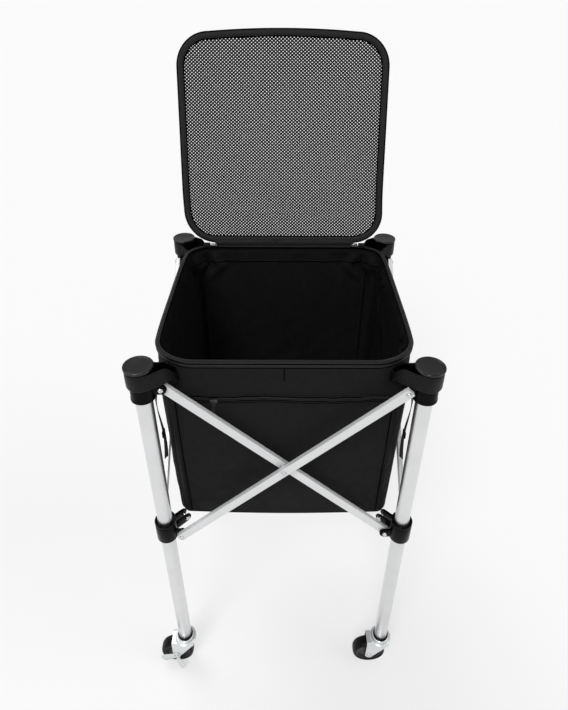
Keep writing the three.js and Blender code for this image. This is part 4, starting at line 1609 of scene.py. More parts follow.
    def _wheel(self, palette: Palette, corner: Corner) -> None:
        """The tyre, and the wheel's core with its hub."""
        place = np.array([-self.trail, 0, self.wheel_radius])
        tread, face, core = self.wheel_radius, self.wheel_half, self.core_radius
        half = np.array([[core, 0.9], [core + 1.2 * MM, 1], [tread - 3.6 * MM, 1], [tread - 0.7 * MM, 0.66]])
        half = half * [1, face]
        section = np.concatenate([half, [[tread, 0]], (half * [1, -1])[::-1]])
        radius = np.array([0.4, 0.8, 2.2, 3, 6, 3, 2.2, 0.8, 0.4]) * MM
        tyre = Skin()
        rolled = along_y(turned(rounded(section, radius, 5), 72)) + place
        tyre.grid(self._placed(rolled, corner), wrap=True, ring=True)
        body = f"wheel_{corner.label}"
        palette.place(tyre, f"tyre_{corner.label}", "rubber", body, f"caster_wheel_{corner.label}")
        hub, web, bead = self.hub_half, self.web_half, face * 0.9
        half = np.array([
            [self.bore, hub],
            [self.hub_radius - 1 * MM, hub],
            [self.hub_radius, web + 1 * MM],
            [core - 4 * MM, web],
            [core - 2.4 * MM, bead],
            [core + 0.05 * MM, bead],
        ])
        section = np.concatenate([half, (half * [1, -1])[::-1]])
        centre = Skin()
        points = along_y(turned(rounded(section, 0.8 * MM, 3), 72))
        centre.grid(self._placed(points + place, corner), wrap=True, ring=True)
        palette.place(centre, f"wheel_core_{corner.label}", "satin", body)

    def _brake(self, palette: Palette, corner: Corner) -> None:
        """A sheet pedal that turns on the axle: a leaf over the tyre's side, and a bent toe tab."""
        inner = -self.fork_half - 0.3 * MM
        outer = inner - self.sheet
        drop, reach, radius = self.leaf_drop, self.leaf_reach, self.leaf_radius
        upper = math.radians(90) + math.atan2(radius - self.ring_radius + drop, reach) * 0.5
        lower = np.linspace(upper, math.radians(270), 18)
        ring = np.linspace(math.radians(-42), upper, 18)
        outline = np.concatenate([
            np.stack([-reach + radius * np.cos(lower), -drop + radius * np.sin(lower)], -1),
            self.ring_radius * np.stack([np.cos(ring), np.sin(ring)], -1),
        ])
        leaf = plate(outline, outer, inner, 0.6 * MM)
        width, length = 13 * MM, 27 * MM
        shape = np.array([[-width / 2, -length], [width / 2, -length], [width / 2, 0], [-width / 2, 0]])
        outline = rounded(shape, np.array([5, 5, 1, 1]) * MM, 6)
        tab = turn_x(plate(outline, -self.sheet / 2, self.sheet / 2, 0.6 * MM), -math.radians(30))
        tab = turn_y(tab, -math.radians(45)) + np.array([0, inner - self.sheet / 2, -12 * MM])
        place = np.array([-self.trail, 0, self.wheel_radius])
        skin = Skin()
        for grid in (leaf, tab):
            skin.closed(self._placed(grid + place, corner))
        label = corner.label
        palette.place(skin, f"pedal_{label}", "zinc", f"brake_{label}", f"brake_lever_{label}")


# The bag


CORNER_SHARE = 0.2  # of an end wall's run, for each of its two corners
FLAT_SHARE = 0.6  # of an end wall's run, between its corners


class Wall(Enum):
    """A wall of the bag: its name and the body that it rides on."""

    FRONT = ("front", "frame_front_left")
    REAR = ("rear", "frame_rear_left")
    LEFT = ("left", "frame_front_left")
    RIGHT = ("right", "frame_front_right")

    @property
    def label(self) -> str:
        """The wall's name in the frame's nodes."""
        return self.value[0]

    @property
    def body(self) -> str:
        """The body that the wall rides on."""
        return self.value[1]

    @property
    def is_end(self) -> bool:
        """Whether the wall carries the bag's rounded corners."""
        return self in (Wall.FRONT, Wall.REAR)

    def plan(self, share: np.ndarray) -> tuple[np.ndarray, np.ndarray]:
        """The wall's line in plan, for a bag of half-width 1: its core points and its outward directions.

        Args:
            share: 0 to 1 along the wall; an end wall spends its first and last fifth on its corners.

        Returns:
            Core points and outward directions, one row each.
        """
        if self.is_end:
            turn = np.pi + np.pi / 2 * np.clip(share / CORNER_SHARE, 0, 1)
            turn = turn + np.pi / 2 * np.clip((share - 1 + CORNER_SHARE) / CORNER_SHARE, 0, 1)
            along = 2 * np.clip((share - CORNER_SHARE) / FLAT_SHARE, 0, 1) - 1
            core = np.stack([along, -np.ones_like(share)], -1)
            out = np.stack([np.cos(turn), np.sin(turn)], -1)
            if self is Wall.REAR:
                core, out = core * [1, -1], out * [1, -1]
            return core, out
        side = -1.0 if self is Wall.LEFT else 1.0
        core = np.stack([np.full_like(share, side), 2 * share - 1], -1)
        out = np.stack([np.full_like(share, side), np.zeros_like(share)], -1)
        return core, out


@dataclass
class BagShape:
    """Where the bag's skin lies at every height, as named by the frame's own sizes."""

    rim_top: float = 883 * MM
    bottom: float = 505 * MM
    roll: float = 11 * MM
    hem: float = 38 * MM
    half_rim: float = 205 * MM
    half_top: float = 204 * MM
    half_bottom: float = 199 * MM
    corner_top: float = 60 * MM
    corner_rear: float = 45 * MM
    belly: float = 11 * MM
    corner_wall: float = 22 * MM
    corner_bottom: float = 18 * MM
    turn_low: float = 806 * MM
    turn_high: float = 840 * MM
    wall: float = 1.9 * MM
    hem_wall: float = 0.9 * MM
    rim_wall: float = 4.4 * MM
    billow: float = 2.6 * MM
    crease: float = 2.0 * MM
    wrinkle: float = 1.5 * MM
    gather: float = 3.4 * MM
    gather_width: float = 0.016
    gather_sway: float = 0.012
    gather_sizes: tuple[float, ...] = (0.8, -0.9, 1.0, -0.8, 0.5)
    gathers_on_ends: tuple[float, ...] = (0.05, 0.105, 0.165, 0.222, 0.262)
    gathers_on_sides: tuple[float, ...] = (0.05, 0.095, 0.15, 0.2)
    front_gather: float = 0.4
    other_gather: float = 1.7
    groove: float = 2.2 * MM
    groove_lip: float = 1.0 * MM
    pucker: float = 0.35 * MM
    sag: float = 6.2 * MM
    taper_top: float = 861 * MM

    def half(self, z: np.ndarray) -> np.ndarray:
        """Half the bag's width at a height, without its rim roll: a straight taper."""
        share = np.minimum((z - self.bottom) / (self.taper_top - self.bottom), 1)
        return self.half_bottom + share * (self.half_top - self.half_bottom)

    def corner(self, z: np.ndarray, wall: Wall = Wall.FRONT) -> np.ndarray:
        """The plan radius of the bag's corners: nearly square below, drawn round near the rim."""
        share = np.clip((z - self.bottom) / (self.turn_low - self.bottom), 0, 1)
        below = self.corner_bottom + share * (self.corner_wall - self.corner_bottom)
        top = self.corner_rear if wall is Wall.REAR else self.corner_top
        return below + (top - below) * smooth(self.turn_low, self.turn_high, z)

    def bellied(self, points: np.ndarray) -> np.ndarray:
        """Widens the bag between its legs.

        The factor on x is 1 + b (0.3 + 0.7 sin(pi l / 2)^0.7) (1 - |y / h|^5) / h, with l the level.

        Args:
            points: Points on a bag with flat sides.

        Returns:
            The points, moved across.
        """
        z = points[..., 2]
        half = self.half(z)
        level = np.clip((z - self.bottom) / (self.rim_top - self.bottom), 0, 1)
        along = np.minimum(np.abs(points[..., 1]) / half, 1) ** 5
        wider = self.belly * (0.3 + 0.7 * np.sin(np.pi / 2 * level) ** 0.7) * (1 - along) / half
        return np.stack([points[..., 0] * (1 + wider), points[..., 1], z], -1)

    def place(self, wall: Wall, share: np.ndarray, z: np.ndarray, out: np.ndarray | float) -> np.ndarray:
        """A point on the bag: core (half - radius) + direction (radius + out), at height z.

        Args:
            wall: The wall.
            share: 0 to 1 along it.
            z: The height.
            out: How far the point lies outside the bag's plain taper.

        Returns:
            The points.
        """
        core, way = wall.plan(share)
        radius = self.corner(z, wall)
        reach = np.stack([self.half(z) - radius, self.half(z) - radius], -1)
        if not wall.is_end:
            reach[..., 1] += smooth(-0.2, 0.2, core[..., 1]) * (radius - self.corner(z, Wall.REAR))
        flat = core * reach + way * (radius + out)[..., None]
        return self.bellied(np.concatenate([flat, (z + 0 * share)[..., None]], -1))

    def length(self, wall: Wall) -> float:
        """The wall's length round its rim."""
        straight = 2 * (self.half_top - self.corner_top)
        return straight + (math.pi * self.corner_top if wall.is_end else 0.0)

    def shares(self, wall: Wall, step: float) -> np.ndarray:
        """Evenly laid shares along a wall, no more than a step apart."""
        if not wall.is_end:
            return np.linspace(0, 1, max(3, round(self.length(wall) / step)))
        arc = max(8, round(math.pi / 2 * self.corner_top / step))
        flat = max(3, round(2 * (self.half_top - self.corner_wall) / step))
        near, far = CORNER_SHARE, 1 - CORNER_SHARE
        runs = [np.linspace(0, near, arc), np.linspace(near, far, flat)[1:], np.linspace(far, 1, arc)[1:]]
        return np.concatenate(runs)

    def fine_shares(self, wall: Wall, step: float) -> np.ndarray:
        """Shares along a wall, closer beside its corner seams and its middle seam."""
        found = [self.shares(wall, step)]
        middle = np.array([-5.2, -2.6, -1.3, 0, 1.3, 2.6, 5.2]) * 0.001
        found.append(0.5 + middle)
        if wall.is_end:
            corner = np.array([-20, -12, -6, 0, 1.7, 3.5, 6, 10]) * 0.001
            found.extend([CORNER_SHARE + corner, 1 - CORNER_SHARE - corner])
        return np.unique(np.round(np.concatenate(found), 5))

    def from_seam(self, wall: Wall, share: np.ndarray, z: np.ndarray) -> np.ndarray:
        """The distance along the cloth from the nearest corner seam, negative on the corner's side."""
        nearest = np.minimum(share, 1 - share)
        radius = self.corner(z)
        if not wall.is_end:
            return nearest * 2 * (self.half(z) - radius)
        past = nearest - CORNER_SHARE
        on_corner = past / CORNER_SHARE * math.pi / 2 * radius
        return np.where(past < 0, on_corner, past / FLAT_SHARE * 2 * (self.half(z) - radius))

    def relief(self, wall: Wall, share: np.ndarray, z: np.ndarray) -> np.ndarray:
        """How far the cloth stands out: a billow, soft creases, gathers under the rim and the seams' grooves.

        Each term fades to nothing at the rim, at the bottom and at the wall's ends, where its neighbours
        meet it.

        Args:
            wall: The wall.
            share: 0 to 1 along it.
            z: The height.

        Returns:
            The distance outwards.
        """
        seed = list(Wall).index(wall) + 11
        run = share * self.length(wall)
        level = np.clip((z - self.bottom) / (self.rim_top - self.roll - self.bottom), 0, 1)
        hung = smooth(0, 0.10, level) * smooth(1, 0.955, level)
        held = smooth(0, 0.05, share) * smooth(1, 0.95, share)
        billow = (self.billow if wall.is_end else 0.0) * np.sin(np.pi * share) * np.sin(np.pi * level) ** 0.7
        crease = self.crease * ripples(run, z * 0.6, seed, 0.17)
        drape = 0.55 * self.crease * ripples(run * 2.4, z * 0.35, seed + 30, 0.12, 7)
        slant = 0.5 * self.crease * ripples(run - z, (run + z) * 0.3, seed + 60, 0.09, 6)
        slant = slant * smooth(0.7, 0.2, level)
        slant = slant - self.wrinkles(run, z, seed + 120)
        nearest = np.minimum(share, 1 - share)
        places = self.gathers_on_ends if wall.is_end else self.gathers_on_sides
        swayed = nearest + self.gather_sway * np.sin(9 * z / 0.1)
        gathers = sum(
            size * ridge(swayed, at, self.gather_width) for at, size in zip(places, self.gather_sizes)
        )
        rim = self.rim_top
        pull = smooth(rim - 0.15, rim - 0.045, z) * smooth(rim - 0.012, rim - 0.03, z)
        depth = self.gather * (self.front_gather if wall is Wall.FRONT else self.other_gather)
        away = self.from_seam(wall, share, z)
        below = smooth(self.turn_high, self.turn_low, z)
        groove = -self.groove * ridge(away, 0.0, 1.8 * MM)
        groove = groove + self.groove_lip * ridge(away, -4.5 * MM, 3 * MM)
        pucker = self.pucker * ripples(z * 3, run * 0, seed + 90, 0.05, 4) * ridge(away, 0.0, 9 * MM)
        soft = held * hung * (crease + drape + slant + billow) + held * pull * depth * gathers
        return soft + (groove + pucker) * below * smooth(0, 0.03, level) * (1.0 if wall.is_end else 0.0)

    def wrinkles(self, along: np.ndarray, z: np.ndarray, seed: int) -> np.ndarray:
        """Narrow sunk lines where a broad ripple passes through nought: w exp(-(r / 0.22)^2)."""
        ripple = ripples(along + 0.35 * z, 0.8 * z - 0.2 * along, seed, 0.15, 6)
        strength = 0.5 + 0.5 * ripples(along, z, seed + 7, 0.2, 4)
        return self.wrinkle * np.exp(-((ripple / 0.22) ** 2)) * np.clip(strength, 0, 1)

    def droop(self, wall: Wall, share: np.ndarray) -> np.ndarray:
        """How far the bottom edge hangs at its middle: sag sin(pi s)."""
        along = np.clip((share - CORNER_SHARE) / FLAT_SHARE, 0, 1) if wall.is_end else share
        return self.sag * np.sin(np.pi * along)


@dataclass
class Bag:
    """The bag: four walls, a floor, a zipped pocket, a bound rim with its zip, and its seams, with near-black
    cords as painted shade in its grooves.
    """

    shape: BagShape = field(default_factory=BagShape)
    floor_thickness: float = 3.2 * MM
    pocket_top: float = 800 * MM
    pocket_bottom: float = 510 * MM
    pocket_half: float = 177 * MM
    pocket_thickness: float = 2.2 * MM
    flap_edge: float = 812 * MM
    teeth: float = 803.5 * MM
    keep: float = 0.2

    def build(self, palette: Palette) -> None:
        """Makes the bag's pieces.

        Args:
            palette: The finishes.
        """
        for wall in Wall:
            self._wall(palette, wall)
            self._rim(palette, wall)
            self._inner_binding(palette, wall)
            self._stitching(palette, wall)
        self._floor(palette)
        self._pocket(palette)
        self._pocket_zip(palette)

    def fold(self, piece: bpy.types.Object) -> bpy.types.Object:
        """Gives a piece of a wall a mesh of its own.

        Args:
            piece: The piece.

        Returns:
            The piece.
        """
        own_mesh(piece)
        return piece

    def _wall(self, palette: Palette, wall: Wall) -> None:
        """A wall: a closed profile up the outside, over the rim and down the inside, along the plan."""
        shape = self.shape
        share = shape.fine_shares(wall, 5.5 * MM)
        low, high = shape.bottom, shape.rim_top
        hem, roll = high - shape.hem, high - shape.roll
        up = np.r_[
            np.linspace(low, low + 9 * MM, 7),
            np.linspace(low + 9 * MM, hem - 1 * MM, 62)[1:],
            np.array([-0.4, 0.2, 1.0]) * MM + hem,
            np.linspace(hem + 1 * MM, roll - 1 * MM, 6)[1:],
            np.array([0, 1]) * MM + roll,
            np.linspace(roll + 1 * MM, high - 2.5 * MM, 5)[1:],
        ]
        rim = smooth(roll - 1 * MM, roll + 1 * MM, up)
        outside = 1.4 * MM * rim
        thick = shape.wall + shape.hem_wall * smooth(hem - 0.5 * MM, hem + 0.3 * MM, up)
        inside = outside - thick - (shape.rim_wall - shape.wall - shape.hem_wall) * rim
        turn = np.linspace(0, np.pi, 9)[1:-1]
        lip = shape.rim_wall / 2
        out = np.r_[outside, outside[-1] - lip + lip * np.cos(turn), inside[::-1]]
        z = np.r_[up, high - lip + lip * np.sin(turn), up[::-1]]
        tuck = 5 * MM * np.maximum(1 - (z - low) / (8 * MM), 0) ** 2
        grid_share = np.broadcast_to(share[:, None], (len(share), len(z)))
        grid_z = np.broadcast_to(z[None], grid_share.shape)
        hang = shape.droop(wall, grid_share) * smooth(low + 0.12, low, grid_z)
        middle = ridge((grid_share - 0.5) * shape.length(wall), 0.0, 1.5 * MM)
        middle = middle * smooth(hem - 0.5 * MM, hem, grid_z)
        reach = (out - tuck)[None] + shape.relief(wall, grid_share, grid_z)
        reach = reach - 1.4 * MM * middle * smooth(high, roll, grid_z)
        points = shape.place(wall, grid_share, grid_z, reach)
        points[..., 2] -= hang
        cloth = np.stack([grid_share * shape.length(wall), grid_z], -1)
        skin = Skin().closed(points, cloth=cloth)
        name = f"bag_{wall.label}"
        piece = palette.place(skin, name, "cloth", wall.body, f"{name}_wall", sharp=60)
        self.fold(piece)
        width = shape.length(wall) if wall.is_end else 2 * (shape.half_bottom - shape.corner_bottom)

    def _line(self, wall: Wall, out: float, z: float, step: float) -> tuple[np.ndarray, np.ndarray]:
        """A level line on a wall and its outward directions.

        Args:
            wall: The wall.
            out: How far outside the cloth it runs.
            z: Its height.
            step: The distance between its points.

        Returns:
            Points and directions, one row each.
        """
        share = self.shape.shares(wall, step)
        level = np.full_like(share, z)
        way = wall.plan(share)[1]
        path = self.shape.place(wall, share, level, out + self.shape.relief(wall, share, level))
        return path, np.concatenate([way, np.zeros((len(way), 1))], 1)

    @staticmethod
    def _lift(way: np.ndarray) -> np.ndarray:
        """Straight up, once for each direction."""
        return facing([0.0, 0.0, 1.0], way)

    def _rim(self, palette: Palette, wall: Wall) -> None:
        """The rim's edging cords, its zip tape, the teeth along the tape, and near-black cords as painted
        shade in its grooves.
        """
        top = self.shape.rim_top
        cords = Skin()
        for out, z, radius in ((1.3, -9.6, 1.1), (1.4, -1.4, 1.5), (-3.4, -1.0, 1.5)):
            path, way = self._line(wall, out * MM, top + z * MM, 5 * MM)
            cords.closed(round_cord(path, way, self._lift(way), radius * MM))
        self.fold(palette.place(cords, f"rim_cords_{wall.label}", "webbing", wall.body, sharp=80))
        # Painted shade: near-black cords in the grooves under and between the rim's cords, and along the
        # hem's inner edge.
        shadow = Skin()
        for out, z, radius in ((0.3, -12.4, 1.1), (1.9, -4.0, 0.9), (-1.0, 0.2, 0.9), (-4.5, -3.6, 1.0)):
            path, way = self._line(wall, out * MM, top + z * MM, 5 * MM)
            shadow.closed(round_cord(path, way, self._lift(way), radius * MM, 8))
        inside = -self.shape.wall - self.shape.hem_wall
        path, way = self._line(wall, inside + 0.6 * MM, top - self.shape.hem - 0.6 * MM, 5 * MM)
        shadow.closed(round_cord(path, way, self._lift(way), 0.8 * MM, 8))
        # The middle seams drawn as near-black cords: painted shade in the join's groove.
        if wall.is_end:
            shadow.closed(self._middle_seam(wall, -0.1 * MM, 0.6 * MM))
            shadow.closed(self._middle_seam(wall, inside + 0.1 * MM, 0.6 * MM))
        self.fold(palette.place(shadow, f"rim_shade_cords_{wall.label}", "seam", wall.body, sharp=80))
        tape = Skin()
        flat = rounded(rectangle(0.35, 3.2) * MM, 0.3 * MM, 2)
        path, way = self._line(wall, 1.6 * MM, top - 6.4 * MM, 5 * MM)
        tape.closed(swept(path, flat, way, self._lift(way)))
        path, way = self._line(wall, -1.2 * MM, top + 0.1 * MM, 5 * MM)
        tape.closed(swept(path, flat[:, ::-1] * [0.62, 1], way, self._lift(way)))
        self.fold(palette.place(tape, f"rim_tape_{wall.label}", "tape", wall.body))
        path, way = self._line(wall, -0.9 * MM, top + 0.6 * MM, 0.75 * MM)
        size = (0.75 + 0.3 * np.sin(np.arange(len(path)) * np.pi / 1.5)) * MM
        teeth = Skin().closed(round_cord(path, way, self._lift(way), size, 6))
        self.fold(palette.place(teeth, f"rim_zip_{wall.label}", "satin", wall.body))

    def _middle_seam(self, wall: Wall, out: float, radius: float) -> np.ndarray:
        """The join in the middle of an end wall's hem, as a sunk cord from the hem's edge to the rim, which
        is drawn near black as painted shade.
        """
        shape = self.shape
        z = np.linspace(shape.rim_top - shape.hem, shape.rim_top - shape.roll - 2 * MM, 24)
        share = np.full_like(z, 0.5)
        way = np.concatenate([wall.plan(share)[1], np.zeros((len(z), 1))], 1)
        raised = out - 0.9 * MM * np.sign(out + 1 * MM) + shape.relief(wall, share, z)
        path = shape.place(wall, share, z, raised)
        across = facing([1.0, 0.0, 0.0], path)
        return round_cord(path, across, way, radius, 8)

    def _inner_binding(self, palette: Palette, wall: Wall) -> None:
        """The bound seam allowances that stand up inside the corners, from the floor to the hem."""
        if not wall.is_end:
            return
        shape = self.shape
        z = np.linspace(shape.bottom + 8 * MM, shape.turn_low + 6 * MM, 90)
        skin = Skin()
        for seam in (0.2, 0.8):
            share = np.full_like(z, seam)
            way = wall.plan(share)[1]
            side = np.concatenate([way, np.zeros((len(way), 1))], 1)
            base = shape.place(wall, share, z, -shape.wall - 0.3 * MM + shape.relief(wall, share, z))
            wave = ripples(z * 2, z * 0, 40 + int(seam * 10), 0.11, 5)
            lean = np.stack([0.9 * MM * wave, 0 * z, 0 * z], -1)
            cross = np.array([[1.0, 0.0, 0.0]])
            corners = np.array([[-0.7, 0], [0.7, 0], [0.7, -5.6], [-0.7, -5.6]]) * MM
            section = rounded(corners, 0.55 * MM, 3)
            path = base + lean
            skin.closed(swept(path, section, np.broadcast_to(cross, base.shape), side))
        self.fold(palette.place(skin, f"inner_binding_{wall.label}", "cloth", wall.body))

    def _stitching(self, palette: Palette, wall: Wall) -> None:
        """Sewing thread: a row under the rim roll outside, and a row above the hem's edge inside."""
        shape = self.shape
        skin = Skin()
        inside = -shape.wall - shape.hem_wall
        for out, z, face in ((0.1, -13.6, 0.0), (-0.1, -35.6, inside), (-0.1, -14.5, inside)):
            path, way = self._line(wall, face + out * MM, shape.rim_top + z * MM, 1.0 * MM)
            turned_in = -1.0 if face < 0 else 1.0
            skin.closed(thread(path, way * turned_in, self._lift(way)))
        self.fold(palette.place(skin, f"rim_stitches_{wall.label}", "thread", wall.body, sharp=80))

    def _floor(self, palette: Palette) -> None:
        """A soft sheet inside the walls' foot, which hangs with them at its edges and as low at its middle.

        With u and v the cosines of pi x / 2h and pi y / 2h, the fall is sag (u + v - u v).
        """
        shape = self.shape
        half, radius = shape.half_bottom - 3.2 * MM, shape.corner_bottom - 3.2 * MM
        outline = rounded(rectangle(1, 1) * half, radius, 10)
        dense = np.linspace(0, 1, 15)[:-1, None]
        jumps = np.linalg.norm(np.roll(outline, -1, 0) - outline, axis=1)
        outline = np.concatenate([
            outline[i]
            + (outline[(i + 1) % len(outline)] - outline[i]) * (dense if jumps[i] > 0.05 else dense[:1])
            for i in range(len(outline))
        ])
        top, thick = shape.bottom - 0.3 * MM, self.floor_thickness
        scale = np.r_[np.linspace(0, 0.97, 30), [0.99, 1.0, 0.99], np.linspace(0.97, 0, 30)]
        level = np.r_[np.zeros(30), [-0.15, -0.5, -0.85], np.full(30, -1.0)] * thick + top
        flat = scale[:, None, None] * outline[None]
        u = np.cos(flat[..., 0] / half * np.pi / 2)
        v = np.cos(flat[..., 1] / half * np.pi / 2)
        wave = 0.6 * MM * ripples(flat[..., 0], flat[..., 1], 77, 0.14) * (1 - scale[:, None] ** 4)
        height = level[:, None] - shape.sag * (u + v - u * v) + wave
        points = self.shape.bellied(np.concatenate([flat, height[..., None]], -1))
        skin = Skin().grid(points, wrap=True, cloth=flat)
        piece = palette.place(skin, "bag_base", "cloth", "bag_floor", "bag_floor", sharp=60)
        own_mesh(piece)

    def _front_point(self, x: np.ndarray, z: np.ndarray, out: np.ndarray | float) -> np.ndarray:
        """A point on the front wall's straight part: its share from x, its place and relief from the bag.

        Args:
            x: Where it lies across.
            z: Its height.
            out: How far in front of the wall it lies.

        Returns:
            The points.
        """
        shape = self.shape
        share = 0.2 + 0.6 * (x / (shape.half(z) - shape.corner(z)) + 1) / 2
        share = np.clip(share, 0.2, 0.8)
        points = shape.place(Wall.FRONT, share, z, out + shape.relief(Wall.FRONT, share, z))
        points[..., 0] = x
        points[..., 2] -= shape.droop(Wall.FRONT, share) * smooth(shape.bottom + 0.12, shape.bottom, z)
        return points

    def _pocket(self, palette: Palette) -> None:
        """The pocket's panel: a shallow pillow on the front wall, full at its middle, flat at its seams."""
        across = np.sin(np.linspace(-np.pi / 2, np.pi / 2, 91))
        down = 0.5 + 0.5 * np.sin(np.linspace(-np.pi / 2, np.pi / 2, 71))
        low, high = self.pocket_bottom, self.pocket_top
        share_x, share_z = np.meshgrid(across, down)
        x = share_x * self.pocket_half
        z = low + share_z * (high - low)
        rounds = smooth(1.0, 0.955, np.abs(share_x)) * smooth(1.0, 0.97, share_z) * smooth(0.0, 0.12, share_z)
        soft = 0.5 * MM * ripples(x * 1.3, z * 0.7, 51, 0.13, 8)
        slack = 0.9 * MM * ridge(x + 0.35 * z, -0.02 + 0.23, 0.035)
        slack = slack - 0.8 * MM * ridge(x - 0.5 * z, -0.21, 0.03)
        slack = slack - self.shape.wrinkles(x, z, 311)
        front = 0.3 * MM + rounds * (self.pocket_thickness + soft + slack)
        outer = self._front_point(x, z, front)
        inner = self._front_point(x, z, np.full_like(x, 0.1 * MM))
        cloth = np.stack([x, z], -1)
        skin = Skin()
        skin.grid(outer, cloth=cloth)
        skin.grid(inner, cloth=cloth)
        for rows in (np.s_[0, :], np.s_[-1, :], np.s_[:, 0], np.s_[:, -1]):
            skin.grid(np.stack([outer[rows], inner[rows]]), cloth=np.stack([cloth[rows], cloth[rows]]))
        piece = palette.place(skin, "pocket_panel", "cloth", Wall.FRONT.body, "bag_front_pocket", sharp=60)
        self.fold(piece)

    def _across(
        self, reach: float, count: int, z: float, out: float
    ) -> tuple[np.ndarray, np.ndarray, np.ndarray]:
        """A level line across the front with its directions out and up, wavering a little with the cloth.

        Args:
            reach: Half its length.
            count: How many points it has.
            z: Its height.
            out: How far in front of the wall it runs.

        Returns:
            Points, outward directions and upward directions, one row each.
        """
        wide = np.linspace(-reach, reach, count)
        height = z + 1.7 * MM * ripples(wide, wide * 0, 63, 0.24, 4)
        path = self._front_point(wide, height, np.full_like(wide, out))
        way = facing([0.0, -1.0, 0.0], path)
        return path, way, self._lift(way)

    def _pocket_zip(self, palette: Palette) -> None:
        """The pocket's zip: the flap's rolled edge, the tape under it, the teeth, the pocket's edge, and
        near-black cords as painted shade beside them.
        """
        front = Wall.FRONT
        welts = Skin()
        for z, out, radius in ((self.flap_edge, 0.5, 1.5), (self.pocket_top - 0.6 * MM, 1.0, 1.35)):
            path, way, lift = self._across(179 * MM, 140, z, out * MM)
            welts.closed(round_cord(path, way, lift, radius * MM))
        self.fold(palette.place(welts, "pocket_welts", "cloth", front.body, sharp=80))
        # Painted shade: near-black cords under the flap's edge, above and below the welt, and beside the
        # pocket's sides.
        shadow = Skin()
        for z, out, radius in ((self.flap_edge - 2.6 * MM, 0.9, 1.1), (self.pocket_top + 1.3 * MM, 1.0, 0.8),
                               (self.pocket_top - 2.6 * MM, 0.8, 0.9)):
            path, way, lift = self._across(178 * MM, 140, z, out * MM)
            shadow.closed(round_cord(path, way, lift, radius * MM, 8))
        level = np.linspace(self.pocket_bottom + 2 * MM, self.pocket_top - 1 * MM, 90)
        for side in (-1, 1):
            spread = 4 * MM * smooth(self.pocket_bottom, self.pocket_top, level)
            place = side * (self.pocket_half + 0.8 * MM + spread)
            path = self._front_point(place, level, np.full_like(level, 0.35 * MM))
            way = facing([0.0, -1.0, 0.0], path)
            sideways = facing([1.0, 0.0, 0.0], path)
            shadow.closed(round_cord(path, way, sideways, 0.75 * MM, 8))
        self.fold(palette.place(shadow, "pocket_shade_cords", "seam", front.body, sharp=80))
        tape = Skin()
        section = rounded(np.array([[-0.3, -5.4], [0.35, -5.4], [0.35, 5.4], [-0.3, 5.4]]) * MM, 0.25 * MM, 2)
        path, way, lift = self._across(178 * MM, 140, 806.2 * MM, 0.5 * MM)
        tape.closed(swept(path, section, way, lift))
        self.fold(palette.place(tape, "pocket_zip_tape", "tape", front.body))
        path, way, lift = self._across(176 * MM, 950, self.teeth, 1.2 * MM)
        size = (1.0 + 0.3 * np.sin(np.arange(len(path)) * np.pi / 2)) * MM
        teeth = Skin().closed(round_cord(path, way, lift, size, 6))
        self.fold(palette.place(teeth, "pocket_zip", "satin", front.body))
        sewn = Skin()
        for z, out in ((self.flap_edge + 3.4 * MM, 0.1), (self.pocket_top - 4 * MM, 2.2)):
            path, way, lift = self._across(175 * MM, 350, z, out * MM)
            sewn.closed(thread(path, way, lift))
        self.fold(palette.place(sewn, "pocket_stitches", "thread", front.body, sharp=80))


